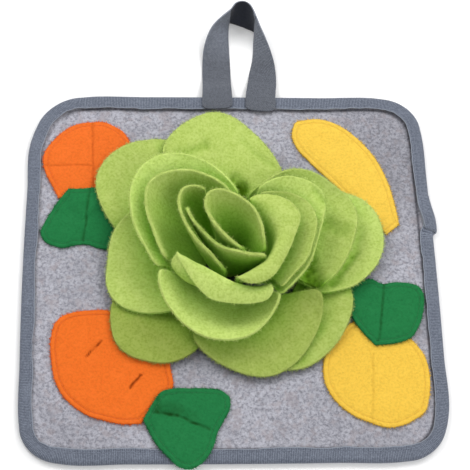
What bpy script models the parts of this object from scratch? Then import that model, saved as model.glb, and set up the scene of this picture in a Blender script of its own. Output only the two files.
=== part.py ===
"""Snuffle mat: a bound felt square with a fleece rose, fleece fruit and leaves, and a hanging loop.

+X is to the right, +Y points to the hanging loop and +Z is up. The origin is the middle of the
felt's underside, which lies on the ground. Lengths are in millimetres and angles in degrees
until a mesh is made, and azimuths are counted from +X, counter-clockwise seen from above.
"""

import math

import bpy
from mathutils import Vector

MM = 0.001
GAP = 0.3  # between pieces that touch on the real mat

# Felt base and the tape that binds its edge
MAT_HALF = 160.0
SIDE_BOW = {"right": 3.0, "back": 1.0, "left": 4.0, "front": 1.5}
CORNER_RADIUS = {"back_right": 32.0, "back_left": 42.0, "front_left": 30.0, "front_right": 34.0}
CORNER_STEPS = 6
SIDE_STEPS = 5
FELT_THICK = 3.0
TAPE_THICK = 0.9
TAPE_WIDTH = {"right": 11.0, "back": 13.0, "left": 10.5, "front": 11.0}
TAPE_WAVE = 0.4
FELT_FLAT = 17.0  # how far in from the edge the felt lies flat on the ground
FELT_RAMP = 3.0
TAPE_EASE = 1.5  # how far from the tape a patch starts to rise onto it
LAP_HEIGHT = 1.0
LAP_START = 30.0
LAP_END = 66.0

# Hanging loop
STRAP_THICK = 1.3

# Fleece
PATCH_THICK = 1.8
PETAL_THICK = 2.4
ROSE_CENTRE = Vector((0.0, 4.0, 0.0))
PETAL_COLUMNS = 11
PETAL_ROWS = 6

FELT_TOP = FELT_THICK
TAPE_TOP = 2 * TAPE_THICK + 2 * GAP + FELT_THICK

# The loop's two edges: outer x, y, z and inner x, y, z
STRAP_SECTIONS = (
    (-21.0, 147.0, 6.4, 4.0, 148.5, 6.4),
    (-21.0, 162.0, 6.4, 4.0, 163.0, 6.4),
    (-20.5, 173.0, 3.8, 3.5, 174.0, 3.8),
    (-20.5, 187.0, 1.2, 3.5, 187.0, 1.2),
    (-20.0, 203.0, 4.0, 3.0, 204.0, 1.2),
    (-17.5, 215.0, 9.0, 2.5, 218.0, 1.2),
    (-12.0, 225.0, 16.0, 2.5, 229.5, 1.2),
    (-4.0, 231.5, 21.0, 3.0, 236.5, 1.2),
    (4.5, 238.0, 23.5, 3.8, 240.6, 1.2),
    (8.0, 243.5, 24.5, 8.5, 238.8, 1.2),
    (14.5, 246.0, 24.5, 14.5, 236.4, 1.2),
    (21.0, 242.0, 24.5, 20.0, 233.6, 1.2),
    (25.3, 231.5, 22.5, 25.3, 230.6, 1.2),
    (29.0, 224.0, 18.0, 24.4, 221.0, 1.2),
    (33.5, 215.5, 13.5, 23.8, 210.0, 1.2),
    (38.0, 205.5, 8.5, 22.3, 198.5, 1.2),
    (41.5, 193.0, 3.5, 19.5, 187.0, 1.2),
    (42.0, 176.0, 3.4, 17.5, 174.0, 3.4),
    (40.5, 162.0, 6.4, 15.5, 162.0, 6.4),
    (40.0, 145.0, 6.4, 15.0, 146.5, 6.4),
)

# Patches: outline x and y, clockwise from the back; the creases pressed into them (x, y, x, y,
# depth, width); and the steps up over what lies under them (height, and the x, y and radius of
# the round that it takes in)
PATCHES = {
    "orange_patch": {
        "colour": "orange",
        "outline": (
            (-112, 135), (-102, 135), (-94, 131), (-87, 126), (-83, 120), (-80, 111), (-82, 94),
            (-92, 76), (-108, 65), (-125, 61), (-138, 63), (-142, 72), (-149, 86), (-151, 94),
            (-151, 102), (-148, 110), (-143, 118), (-136, 126), (-125, 133),
        ),
        "creases": ((-112, 132, -110, 76, 0.7, 3.0), (-149, 93, -123, 93, 0.6, 3.0)),
        "steps": (),
    },
    "orange_leaf": {
        "colour": "leaf",
        "outline": (
            (-130, 70), (-120, 70), (-109, 71), (-98, 69), (-88, 60), (-86, 44), (-92, 28), (-97, 16),
            (-106, 18), (-114, 21), (-125, 20), (-133, 18), (-141, 20), (-147, 23), (-151, 30), (-148, 40),
            (-143, 51), (-137, 60),
        ),
        "creases": ((-113, 70, -117, 25, 0.8, 4.0),),
        "steps": ((2.9, -116, 101, 49.0),),
    },
    "carrot_patch": {
        "colour": "carrot",
        "outline": (
            (-136, -46), (-132, -42), (-125, -39), (-113, -37), (-96, -37), (-78, -42), (-62, -54),
            (-52, -69), (-49, -84), (-47, -101), (-58, -115), (-71, -130), (-86, -130), (-99, -127),
            (-111, -123), (-121, -116), (-129, -108), (-135, -97), (-139, -79), (-140, -61),
        ),
        "creases": ((-113, -76, -101, -63, 0.8, 2.5), (-79, -102, -71, -91, 0.8, 2.5)),
        "steps": (),
    },
    "carrot_leaf": {
        "colour": "leaf",
        "outline": (
            (-69, -128), (-65, -120), (-61, -113), (-56, -106), (-45, -103), (-34, -102), (-22, -102),
            (-10, -104), (-4, -109), (-4, -118), (-9, -128), (-14, -138), (-17, -149), (-22, -158),
            (-28, -164), (-35, -167), (-43, -165), (-50, -158), (-58, -149), (-64, -138),
        ),
        "creases": ((-61, -121, -20, -135, 1.2, 7.0), (-57, -104, -59, -119, 0.8, 3.0)),
        "steps": ((2.9, -95, -82, 57.0), (1.2, -35, -265, 127.0)),
    },
    "banana_patch": {
        "colour": "banana",
        "outline": (
            (53, 123), (54, 130), (57, 136), (64, 138), (76, 139), (87, 136), (98, 129), (109, 118),
            (118, 106), (125, 92), (130, 77), (133, 62), (135, 49), (136, 39), (125, 30), (111, 46),
            (96, 63), (81, 81), (66, 98), (56, 112),
        ),
        "creases": (),
        "steps": (),
    },
    "lemon_patch": {
        "colour": "lemon",
        "outline": (
            (92, -48), (108, -46), (126, -53), (141, -66), (147, -78), (149, -89), (149, -100),
            (147, -112), (144, -121), (135, -128), (124, -133), (113, -134), (101, -130), (90, -125),
            (80, -117), (73, -108), (69, -98), (68, -87), (71, -73), (80, -60),
        ),
        "creases": ((107, -74, 103, -128, 0.4, 4.0),),
        "steps": (),
    },
    "lemon_leaf": {
        "colour": "leaf",
        "outline": (
            (88, -24), (95, -15), (103, -11), (110, -10), (118, -14), (129, -13), (141, -14), (147, -17),
            (150, -23), (150, -32), (148, -42), (144, -52), (138, -61), (130, -65), (120, -67), (109, -68),
            (100, -57), (92, -43),
        ),
        "creases": ((120, -17, 112, -62, 0.8, 4.0),),
        "steps": ((2.9, 109, -90, 55.0),),
    },
}
PATCH_RING_SHARES = (1.0, 0.6)
PATCH_PUFF = 0.8

# Petals, from the heart outwards. foot is the radius of the sewn foot and spread the share of the
# rim's opening that the foot has. waist and bend are two places on the way from foot to rim, each
# a share of the way out and a share of the way up. rim holds azimuth, reach and rise. A petal that
# is folded has a fold in place of the bend and one that bulges has a belly in place of the waist:
# azimuth, reach and rise, a row for each of rim's. A folded petal's waist is on the way to its fold.
PETALS = {
    "petal_bud": {
        "foot": 7.0, "spread": 0.95, "waist": (0.3, 0.4), "bend": (0.65, 0.75),
        "rim": (
            (-34, 28, 56), (-15, 23, 62), (14, 20, 67), (57, 21, 71), (88, 25, 73), (111, 31, 74),
            (126, 34, 74), (138, 32, 73), (152, 26, 72), (170, 18, 70), (212, 12, 68), (271, 13, 64),
            (298, 18, 57),
        ),
    },
    "petal_bud_front": {
        "foot": 11.0, "spread": 0.9, "waist": (0.45, 0.4), "bend": (0.8, 0.7),
        "rim": (
            (150, 43, 59), (158, 37, 61), (170, 30, 61), (183, 24, 61), (207, 20, 61), (235, 18, 61),
            (271, 17, 61), (299, 24, 61), (319, 31, 60),
        ),
    },
    "petal_bud_left": {
        "foot": 15.0, "spread": 0.9, "waist": (0.55, 0.4), "bend": (0.85, 0.7),
        "rim": (
            (122, 41, 64), (128, 48, 63), (135, 53, 62), (143, 53, 62), (153, 48, 61), (167, 39, 60),
            (186, 32, 60), (207, 28, 59), (231, 26, 56), (256, 29, 47),
        ),
    },
    "petal_wrap_right": {
        "foot": 18.0, "spread": 0.9, "waist": (0.65, 0.5),
        "rim": (
            (-87, 39, 55), (-79, 43, 54), (-69, 46, 53), (-55, 46, 53), (-41, 44, 53), (-23, 42, 53),
            (-5, 45, 54), (10, 50, 55), (19, 55, 57), (30, 50, 60), (41, 45, 61), (55, 37, 62),
            (68, 28, 63),
        ),
        "fold": (
            (-88, 38, 56), (-84, 37, 56), (-75, 35, 57), (-63, 34, 58), (-50, 34, 58), (-35, 34, 58),
            (-19, 33, 59), (-8, 33, 59), (3, 32, 59), (15, 30, 60), (31, 28, 61), (49, 27, 62),
            (62, 25, 62),
        ),
    },
    "petal_front_flap": {
        "foot": 22.0, "spread": 0.85,
        "rim": (
            (-159, 48, 53), (-153, 46, 51), (-139, 47, 48), (-125, 50, 45), (-113, 53, 43), (-99, 52, 42),
            (-85, 53, 42), (-70, 56, 43), (-61, 56, 45), (-57, 52, 48),
        ),
        "fold": (
            (-161, 46, 52), (-157, 42, 54), (-142, 37, 54), (-128, 33, 53), (-108, 34, 52), (-92, 38, 50),
            (-80, 41, 49), (-70, 45, 48), (-63, 47, 48), (-57, 49, 49),
        ),
        "belly": (
            (-155, 53, 40), (-150, 53, 39), (-141, 51, 38), (-130, 47, 36), (-113, 42, 32), (-96, 39, 29),
            (-82, 38, 26), (-71, 38, 26), (-63, 38, 26), (-57, 38, 26),
        ),
    },
    "petal_left_inner": {
        "foot": 21.0, "spread": 0.9, "waist": (0.44, 0.31), "bend": (0.77, 0.64),
        "rim": (
            (93, 39, 53), (103, 49, 54), (112, 58, 55), (121, 66, 56), (130, 72, 56), (138, 78, 56),
            (145, 80, 55), (152, 77, 54), (162, 71, 52), (173, 63, 51), (186, 58, 49), (197, 55, 47),
        ),
    },
    "petal_left_outer": {
        "foot": 27.0, "spread": 0.9, "waist": (0.4, 0.38), "bend": (0.68, 0.75),
        "rim": (
            (84, 44, 44), (94, 56, 45), (104, 70, 46), (114, 82, 48), (122, 90, 48), (131, 96, 48),
            (141, 96, 46), (153, 91, 44), (166, 81, 42), (178, 72, 40), (188, 65, 39), (198, 62, 37),
        ),
    },
    "petal_front_cup": {
        "foot": 28.0, "spread": 0.85, "waist": (0.55, 0.5),
        "rim": (
            (-156, 62, 45), (-151, 67, 43), (-143, 70, 39), (-133, 73, 35), (-122, 75, 31), (-109, 78, 29),
            (-96, 78, 28), (-84, 76, 29), (-73, 71, 32), (-62, 64, 37), (-53, 57, 43),
        ),
        "fold": (
            (-156, 55, 36), (-151, 58, 36), (-143, 60, 33), (-133, 61, 30), (-122, 63, 27), (-109, 65, 25),
            (-96, 65, 24), (-84, 64, 25), (-73, 60, 27), (-62, 55, 30), (-53, 50, 35),
        ),
    },
    "petal_right_inner": {
        "foot": 22.0, "spread": 0.9, "waist": (0.25, 0.5), "bend": (0.62, 0.85),
        "rim": (
            (-48, 54, 42), (-32, 53, 44), (-19, 58, 45), (-7, 60, 46), (5, 64, 47), (16, 68, 49),
            (25, 66, 51), (34, 61, 53), (43, 54, 55), (52, 46, 55), (60, 42, 55),
        ),
    },
    "petal_right_middle": {
        "foot": 26.0, "spread": 0.9, "waist": (0.25, 0.5), "bend": (0.62, 0.82),
        "rim": (
            (-50, 56, 35), (-36, 56, 36), (-20, 60, 37), (-6, 64, 39), (6, 67, 41), (17, 74, 43),
            (26, 83, 46), (35, 82, 47), (45, 76, 48), (56, 66, 48), (66, 51, 48),
        ),
    },
    "petal_right_outer": {
        "foot": 30.5, "spread": 0.85, "waist": (0.32, 0.58), "bend": (0.68, 0.74),
        "rim": (
            (-24, 74, 21), (-16, 81, 24), (-6, 88, 26), (5, 96, 28), (15, 103, 29), (22, 107, 28),
            (29, 105, 27), (34, 99, 30), (44, 94, 36), (55, 83, 39), (64, 63, 40), (74, 46, 39),
        ),
    },
    "petal_low_right": {
        "foot": 37.0, "spread": 0.8, "waist": (0.22, 0.45), "bend": (0.55, 0.92),
        "rim": (
            (-25, 76, 14), (-18, 90, 14), (-12, 102, 12), (-4, 113, 12), (4, 121, 12), (13, 124, 13),
            (22, 123, 14), (30, 113, 15), (40, 95, 16),
        ),
    },
    "petal_low_front": {
        "foot": 37.0, "spread": 0.55, "waist": (0.5, 0.35),
        "rim": (
            (-117, 74, 18), (-109, 82, 14), (-100, 88, 11), (-90, 94, 9), (-81, 100, 8), (-73, 103, 8),
            (-65, 101, 9), (-56, 97, 10), (-46, 91, 12), (-37, 86, 15), (-30, 81, 19), (-24, 74, 24),
        ),
        "fold": (
            (-108, 54, 9), (-102, 56, 9), (-96, 58, 9), (-88, 61, 10), (-80, 64, 11), (-73, 66, 12),
            (-66, 66, 13), (-58, 64, 13), (-52, 60, 13), (-47, 57, 13), (-43, 54, 13), (-40, 50, 13),
        ),
    },
    "petal_low_front_right": {
        "foot": 54.0, "spread": 0.7, "waist": (0.25, 0.45), "bend": (0.6, 0.75),
        "rim": (
            (-84, 80, 6.2), (-75, 91, 6.2), (-68, 99, 6.2), (-60, 106, 6.5), (-48, 107, 8), (-38, 106, 10),
            (-30, 104, 11), (-21, 101, 10), (-15, 97, 9), (-8, 84, 8.8),
        ),
    },
    "petal_low_front_left": {
        "foot": 54.0, "spread": 0.7, "waist": (0.25, 0.6), "bend": (0.6, 0.9),
        "rim": (
            (-168, 82, 6), (-160, 100, 7.5), (-151, 108, 9), (-143, 115, 9), (-136, 115, 9), (-130, 110, 8),
            (-122, 103, 8), (-115, 92, 8), (-109, 76, 8),
        ),
    },
    "petal_low_left": {
        "foot": 36.0, "spread": 0.8, "waist": (0.2, 0.42), "bend": (0.5, 0.72),
        "rim": (
            (152, 84, 25), (159, 92, 21), (166, 96, 18), (174, 97, 16), (183, 98, 14), (191, 101, 12),
            (198, 101, 12), (205, 97, 12), (212, 88, 12), (220, 74, 13), (229, 58, 15),
        ),
    },
    "petal_low_back_left": {
        "foot": 42.0, "spread": 0.75, "waist": (0.2, 0.45), "bend": (0.6, 0.9),
        "rim": (
            (107, 98, 13), (115, 121, 13), (121, 127, 13), (128, 134, 13), (136, 136, 12), (143, 134, 11),
            (150, 125, 11), (157, 110, 12), (165, 94, 13),
        ),
    },
    "petal_low_back": {
        "foot": 36.0, "spread": 0.75, "waist": (0.15, 0.5), "bend": (0.5, 0.95),
        "rim": (
            (54, 76, 18), (62, 90, 17), (69, 99, 17), (77, 110, 18), (85, 122, 20), (91, 130, 21),
            (96, 134, 21), (102, 130, 19), (109, 126, 18), (116, 118, 18), (122, 106, 19),
        ),
    },
}

COLOURS = {
    "felt": (0.36, 0.35, 0.38),
    "tape": (0.17, 0.19, 0.24),
    "rose": (0.42, 0.60, 0.11),
    "orange": (0.90, 0.19, 0.02),
    "carrot": (0.90, 0.19, 0.02),
    "leaf": (0.02, 0.20, 0.06),
    "banana": (0.95, 0.62, 0.08),
    "lemon": (0.90, 0.56, 0.08),
}
ROUGHNESS = 0.95
TAPE_ROUGHNESS = 0.75


def clear_scene():
    """Start from an empty scene."""
    for item in list(bpy.data.objects):
        bpy.data.objects.remove(item, do_unlink=True)


def cloth_material(name, colour, roughness=ROUGHNESS):
    """A plain cloth finish, shared by the pieces cut from the same cloth."""
    found = bpy.data.materials.get(name)
    if found:
        return found
    material = bpy.data.materials.new(name)
    material.use_nodes = True
    shader = material.node_tree.nodes["Principled BSDF"]
    shader.inputs["Base Color"].default_value = (*colour, 1.0)
    shader.inputs["Roughness"].default_value = roughness
    shader.inputs["Metallic"].default_value = 0.0
    return material


def add_piece(name, points, faces, material):
    """One closed solid, from points in millimetres."""
    mesh = bpy.data.meshes.new(name)
    mesh.from_pydata([Vector(point) * MM for point in points], [], faces)
    mesh.validate()
    mesh.materials.append(material)
    mesh.shade_smooth()
    mesh.set_sharp_from_angle(angle=math.radians(50))
    piece = bpy.data.objects.new(name, mesh)
    bpy.context.collection.objects.link(piece)
    return piece


def smooth_between(rows, share):
    """A smooth curve through the rows of a table, at a share of its length counted in rows."""
    last = len(rows) - 1
    place = min(max(share, 0.0), 1.0) * last
    start = min(int(place), last - 1)
    t = place - start
    before, here, after, beyond = (rows[min(max(start + step, 0), last)] for step in (-1, 0, 1, 2))
    return tuple(
        0.5 * (2 * b + (c - a) * t + (2 * a - 5 * b + 4 * c - d) * t**2 + (3 * b - a - 3 * c + d) * t**3)
        for a, b, c, d in zip(before, here, after, beyond)
    )


def even_shares(rows, place_of, count):
    """Shares of a table's curve that lie evenly along it, count + 1 of them."""
    fine = 10 * (len(rows) - 1)
    spots = [place_of(smooth_between(rows, step / fine)) for step in range(fine + 1)]
    travelled = [0.0]
    for first, second in zip(spots, spots[1:]):
        travelled.append(travelled[-1] + (second - first).length)
    shares = []
    step = 0
    for index in range(count + 1):
        wanted = travelled[-1] * index / count
        while step < fine - 1 and travelled[step + 1] < wanted:
            step += 1
        stretch = travelled[step + 1] - travelled[step]
        shares.append((step + (wanted - travelled[step]) / stretch) / fine)
    return shares


def grid_normal(grid, column, row):
    """The direction square to a grid of points, at one of them."""
    across = grid[min(column + 1, len(grid) - 1)][row] - grid[max(column - 1, 0)][row]
    along = grid[column][min(row + 1, len(grid[0]) - 1)] - grid[column][max(row - 1, 0)]
    return across.cross(along).normalized()


def sheet_from_grid(name, grid, thick, material):
    """A cloth of even thickness whose middle is a grid of points, columns of rows."""
    columns, rows = len(grid), len(grid[0])
    points = []
    for side in (0.5, -0.5):
        for column in range(columns):
            for row in range(rows):
                points.append(grid[column][row] + grid_normal(grid, column, row) * side * thick)
    back = columns * rows

    def spot(column, row, side=0):
        return side * back + column * rows + row

    faces = []
    for column in range(columns - 1):
        for row in range(rows - 1):
            beside, after = column + 1, row + 1
            front = (spot(column, row), spot(beside, row), spot(beside, after), spot(column, after))
            faces += cut_quad(points, front)
            faces += cut_quad(points, tuple(index + back for index in reversed(front)))
    border = [(column, 0) for column in range(columns)]
    border += [(columns - 1, row) for row in range(1, rows)]
    border += [(column, rows - 1) for column in range(columns - 2, -1, -1)]
    border += [(0, row) for row in range(rows - 2, 0, -1)]
    for first, second in zip(border, border[1:] + border[:1]):
        faces.append((spot(*second), spot(*first), spot(*first, 1), spot(*second, 1)))
    return add_piece(name, points, faces, material)


def cut_quad(points, quad):
    """Two triangles that share the quad's longer diagonal."""
    a, b, c, d = quad
    if (points[a] - points[c]).length > (points[b] - points[d]).length:
        return [(a, b, c), (a, c, d)]
    return [(b, c, d), (b, d, a)]


# Felt base and binding


def mat_outline(inset, tapes=0.0):
    """The bowed square with round corners, drawn in by an inset and by a number of tape widths.

    It runs counter-clockwise from the front end of the right side.
    """
    corners = (
        ("right", "back_right", 0.0),
        ("back", "back_left", 90.0),
        ("left", "front_left", 180.0),
        ("front", "front_right", 270.0),
    )
    previous = {"right": "front_right", "back": "back_right", "left": "back_left", "front": "front_left"}
    outline = []
    for (side, corner, turn), (after, _, _) in zip(corners, corners[1:] + corners[:1]):
        half = MAT_HALF - inset - tapes * TAPE_WIDTH[side]
        start = -MAT_HALF + CORNER_RADIUS[previous[side]]
        end = MAT_HALF - CORNER_RADIUS[corner]
        runs = [start + (end - start) * step / SIDE_STEPS for step in range(SIDE_STEPS)]
        if side == "right":
            runs = sorted(runs + [LAP_START - 1.0, LAP_START, LAP_END])
        for run in runs:
            bow = SIDE_BOW[side] * (1.0 - (run / MAT_HALF) ** 2)
            outline.append(turned((half + bow, run), turn))
        centre = MAT_HALF - CORNER_RADIUS[corner]
        bow = SIDE_BOW[side] * (1.0 - (centre / MAT_HALF) ** 2)
        for step in range(CORNER_STEPS):
            share = step / CORNER_STEPS
            width = TAPE_WIDTH[side] + share * (TAPE_WIDTH[after] - TAPE_WIDTH[side])
            radius = CORNER_RADIUS[corner] - inset - tapes * width
            angle = math.radians(90.0 * share)
            across = centre + bow * (1.0 - share) + radius * math.cos(angle)
            outline.append(turned((across, centre + radius * math.sin(angle)), turn))
    return outline


def turned(place, degrees):
    """A flat place turned about the origin."""
    angle = math.radians(degrees)
    x, y = place
    return (x * math.cos(angle) - y * math.sin(angle), x * math.sin(angle) + y * math.cos(angle))


def rings_to_solid(name, rings, material):
    """A solid of closed rings of points, each joined to the next and the last to the first."""
    count = len(rings[0])
    points = [point for ring in rings for point in ring]
    faces = []
    for index, _ in enumerate(rings):
        after = (index + 1) % len(rings)
        for step in range(count):
            beside = (step + 1) % count
            faces.append((
                index * count + step, index * count + beside,
                after * count + beside, after * count + step,
            ))
    return add_piece(name, points, faces, material)


def add_felt_base():
    """The felt square, flat on the ground, with its edge lifted into the binding."""
    lift = TAPE_THICK + GAP
    edge = TAPE_THICK + GAP
    insets = (edge, FELT_FLAT - FELT_RAMP, FELT_FLAT)
    lifts = (lift, lift, 0.0)
    points = []
    for height in (FELT_THICK, 0.0):
        for inset, raised in zip(insets, lifts):
            points += [(x, y, raised + height) for x, y in mat_outline(inset)]
    count = len(mat_outline(0.0))
    layers = len(insets)
    faces = [tuple(range((layers - 1) * count, layers * count))]
    faces.append(tuple(reversed(range((2 * layers - 1) * count, 2 * layers * count))))
    for step in range(count):
        beside = (step + 1) % count
        for ring in range(layers - 1):
            outer, inner = ring * count, (ring + 1) * count
            faces.append((outer + step, outer + beside, inner + beside, inner + step))
            outer, inner = outer + layers * count, inner + layers * count
            faces.append((outer + beside, outer + step, inner + step, inner + beside))
        low = layers * count
        faces.append((step, low + step, low + beside, beside))
    return add_piece("felt_base", points, faces, cloth_material("felt", COLOURS["felt"]))


def lap_share(x, y):
    """1 where the binding tape's end laps over its start, on the right side, else 0."""
    return 1.0 if x > 0.9 * MAT_HALF and LAP_START <= y < LAP_END else 0.0


def add_edge_binding():
    """The tape folded round the felt's edge, with a small lap where its two ends meet."""
    top = TAPE_TOP
    inside = top - TAPE_THICK
    section = (  # inset, tape widths, height and whether it is on the outside of the tape
        (0.0, 0, 0.8, 1), (0.0, 0, top - 0.8, 1), (0.8, 0, top, 1), (0.0, 1, top, 1),
        (0.0, 1, inside, 0), (TAPE_THICK, 0, inside, 0), (TAPE_THICK, 0, TAPE_THICK, 0),
        (0.0, 1, TAPE_THICK, 0), (0.0, 1, 0.0, 0), (0.8, 0, 0.0, 0),
    )
    rings = []
    for inset, tapes, height, outside in section:
        ring = []
        for x, y in mat_outline(inset, tapes):
            wave = tapes * TAPE_WAVE * math.sin(y / 9.0 - x / 7.0)
            lap = LAP_HEIGHT * lap_share(x, y) * outside
            out = Vector((x, y)).normalized() * wave
            ring.append((x + out.x + lap * 0.6, y + out.y, height + (lap if height > 1.0 else 0.0)))
        rings.append(ring)
    return rings_to_solid("edge_binding", rings, cloth_material("tape", COLOURS["tape"], TAPE_ROUGHNESS))


def add_hanging_loop():
    """A strap whose ends lie on the binding and whose bend stands on its edge."""
    steps = 2 * (len(STRAP_SECTIONS) - 1)
    shares = [step / steps for step in range(steps + 1)]
    sections = [smooth_between(STRAP_SECTIONS, share) for share in shares]
    grid = []
    for row in sections:
        outer, inner = Vector(row[:3]), Vector(row[3:])
        grid.append([outer.lerp(inner, share) for share in (0.0, 0.5, 1.0)])
    grid.reverse()
    cloth = cloth_material("strap", COLOURS["tape"], TAPE_ROUGHNESS)
    return sheet_from_grid("hanging_loop", grid, STRAP_THICK, cloth)


# Fruit and leaf patches


def fade(distance, width):
    """1 at no distance, falling softly to 0 at the width."""
    share = min(abs(distance) / width, 1.0)
    return (1.0 - share * share) ** 2


def crease_drop(creases, x, y):
    """How deep the stitched creases press a patch at a place."""
    drop = 0.0
    for x1, y1, x2, y2, depth, width in creases:
        run = Vector((x2 - x1, y2 - y1))
        share = min(max(Vector((x - x1, y - y1)).dot(run) / run.length_squared, 0.0), 1.0)
        nearest = Vector((x1, y1)) + run * share
        drop = max(drop, depth * fade((Vector((x, y)) - nearest).length, width))
    return drop


def rounded_step(share):
    """0 up to no share and 1 from a whole one, with a soft rise between them."""
    share = min(max(share, 0.0), 1.0)
    return share * share * (3.0 - 2.0 * share)


def inset_from(outline, x, y):
    """How far inside an outline a place is, negative outside it."""
    place = Vector((x, y))
    nearest = 1000.0
    inside = True
    corners = [Vector(corner) for corner in outline]
    for first, second in zip(corners, corners[1:] + corners[:1]):
        run = second - first
        share = min(max((place - first).dot(run) / run.length_squared, 0.0), 1.0)
        nearest = min(nearest, (first + run * share - place).length)
        inside = inside and run.cross(place - first) > 0.0
    return nearest if inside else -nearest


def ground_height(x, y):
    """The height of the felt, or of the tape that covers its edge."""
    lifted = rounded_step((FELT_FLAT + 1.0 - inset_from(mat_outline(0.0), x, y)) / FELT_RAMP)
    taped = rounded_step(1.0 - inset_from(mat_outline(0.0, 1), x, y) / TAPE_EASE)
    lift = TAPE_THICK + GAP
    return FELT_TOP + (lift + GAP) * lifted + (TAPE_TOP - FELT_TOP - lift - GAP) * taped


def step_up(steps, x, y):
    """How much a patch is lifted by the patch that it lies over."""
    lift = 0.0
    for height, centre_x, centre_y, radius in steps:
        outside = math.hypot(x - centre_x, y - centre_y) - radius
        lift = max(lift, height * rounded_step(0.5 - outside / 6.0))
    return lift


def add_patch(name, patch):
    """A fleece shape that lies on the felt, as rings of points from its outline to its middle."""
    ring = [Vector(place) for place in reversed(patch["outline"])]
    count = len(ring)
    middle = sum(ring, Vector((0.0, 0.0))) / count
    places = [(middle.lerp(place, share), share) for share in PATCH_RING_SHARES for place in ring]
    places.append((middle, 0.0))
    points = []
    for height in (PATCH_THICK, 0.0):
        for (x, y), share in places:
            rise = ground_height(x, y) + GAP + step_up(patch["steps"], x, y)
            puff = PATCH_PUFF * min(1.0, 3.0 * (1.0 - share))
            rise += max(puff - crease_drop(patch["creases"], x, y), 0.0)
            points.append((x, y, rise + height))
    low = len(places)
    rings = len(PATCH_RING_SHARES)
    faces = []
    for step in range(count):
        beside = (step + 1) % count
        for index in range(rings - 1):
            outer, inner = index * count, (index + 1) * count
            faces.append((outer + step, outer + beside, inner + beside, inner + step))
            under = (outer + beside, outer + step, inner + step, inner + beside)
            faces.append(tuple(low + spot for spot in under))
        core = (rings - 1) * count
        faces.append((core + step, core + beside, low - 1))
        faces.append((low + core + beside, low + core + step, 2 * low - 1))
        faces.append((step, low + step, low + beside, beside))
    return add_piece(name, points, faces, cloth_material(patch["colour"], COLOURS[patch["colour"]]))


# Rose


def rose_point(azimuth, reach, rise):
    """A place given by its azimuth, its distance from the rose's axis and its height."""
    angle = math.radians(azimuth)
    return ROSE_CENTRE + Vector((reach * math.cos(angle), reach * math.sin(angle), rise))


def part_way(foot, rim, shares):
    """The azimuth, reach and rise some way from a petal's foot to its rim."""
    out, up = shares
    return (
        foot[0] + out * (rim[0] - foot[0]),
        foot[1] + out * (rim[1] - foot[1]),
        foot[2] + up * (rim[2] - foot[2]),
    )


def petal_grid(petal):
    """Columns of points from a petal's sewn foot, by its waist and its bend, to its rim."""
    middle = 0.5 * (petal["rim"][0][0] + petal["rim"][-1][0])
    grid = []
    for share in even_shares(petal["rim"], lambda row: rose_point(*row), PETAL_COLUMNS):
        rim = smooth_between(petal["rim"], share)
        foot = (middle + petal["spread"] * (rim[0] - middle), petal["foot"], FELT_TOP + GAP)
        folded = "fold" in petal
        bend = smooth_between(petal["fold"], share) if folded else part_way(foot, rim, petal["bend"])
        if "belly" in petal:
            waist = smooth_between(petal["belly"], share)
        else:
            waist = part_way(foot, bend if folded else rim, petal["waist"])
        outwards = (waist[1] - foot[1]) / math.hypot(waist[1] - foot[1], waist[2] - foot[2])
        foot = (foot[0], foot[1], foot[2] + 0.5 * PETAL_THICK * outwards + 0.4)
        profile = [rose_point(*place) for place in (foot, waist, bend, rim)]
        grid.append([Vector(smooth_between(profile, row / PETAL_ROWS)) for row in range(PETAL_ROWS + 1)])
    return grid


def add_petal(name, petal):
    """One fleece petal of the rose."""
    return sheet_from_grid(name, petal_grid(petal), PETAL_THICK, cloth_material("rose", COLOURS["rose"]))


def build_mat():
    """Every piece of the mat."""
    clear_scene()
    add_felt_base()
    add_edge_binding()
    add_hanging_loop()
    for name, patch in PATCHES.items():
        add_patch(name, patch)
    for name, petal in PETALS.items():
        add_petal(name, petal)


build_mat()
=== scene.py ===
"""Snuffle mat: a bound felt square with a fleece rose, fleece fruit and leaves, and a webbing loop.

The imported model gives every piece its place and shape. Each operator below dresses one piece or
group of like pieces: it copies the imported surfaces, refines and wrinkles them, sews and brushes
them, and gives them their cloth. Lengths are in metres unless a name ends in _mm.
"""

import math

import bmesh
import bpy
from mathutils import Matrix, Vector, noise
from mathutils.bvhtree import BVHTree
from mathutils.geometry import intersect_point_line


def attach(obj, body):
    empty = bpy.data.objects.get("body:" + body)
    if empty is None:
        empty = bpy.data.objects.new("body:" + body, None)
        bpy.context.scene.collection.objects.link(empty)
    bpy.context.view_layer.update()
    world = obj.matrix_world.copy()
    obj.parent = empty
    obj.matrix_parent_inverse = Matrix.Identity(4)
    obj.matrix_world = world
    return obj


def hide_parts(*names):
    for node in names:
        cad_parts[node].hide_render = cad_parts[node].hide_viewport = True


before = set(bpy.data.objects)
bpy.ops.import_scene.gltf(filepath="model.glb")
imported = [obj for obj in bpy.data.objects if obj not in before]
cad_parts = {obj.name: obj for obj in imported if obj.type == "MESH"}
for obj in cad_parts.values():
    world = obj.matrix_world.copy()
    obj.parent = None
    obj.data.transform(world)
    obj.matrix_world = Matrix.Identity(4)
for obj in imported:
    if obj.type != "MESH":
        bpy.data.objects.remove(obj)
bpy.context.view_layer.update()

bl_info = {
    "name": "Snuffle Mat",
    "version": (1, 0, 0),
    "blender": (4, 5, 0),
    "location": "3D View > Sidebar > Snuffle Mat",
    "description": "Dresses a snuffle mat of felt, fleece, tape and webbing",
    "category": "Add Mesh",
}

MM = 0.001
MERGE = 0.00001
BODY = "root"
NOISE_SEED = 1795498198
noise.seed_set(NOISE_SEED)  # else the noise's vectors would follow the clock

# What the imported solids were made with
PETAL_THICK = 2.4 * MM
STRAP_THICK = 1.3 * MM
PATCH_THICK = 1.8 * MM
FELT_THICK = 3.0 * MM
ROSE_AXIS = Vector((0.0, 0.004, 0.0))

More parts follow.
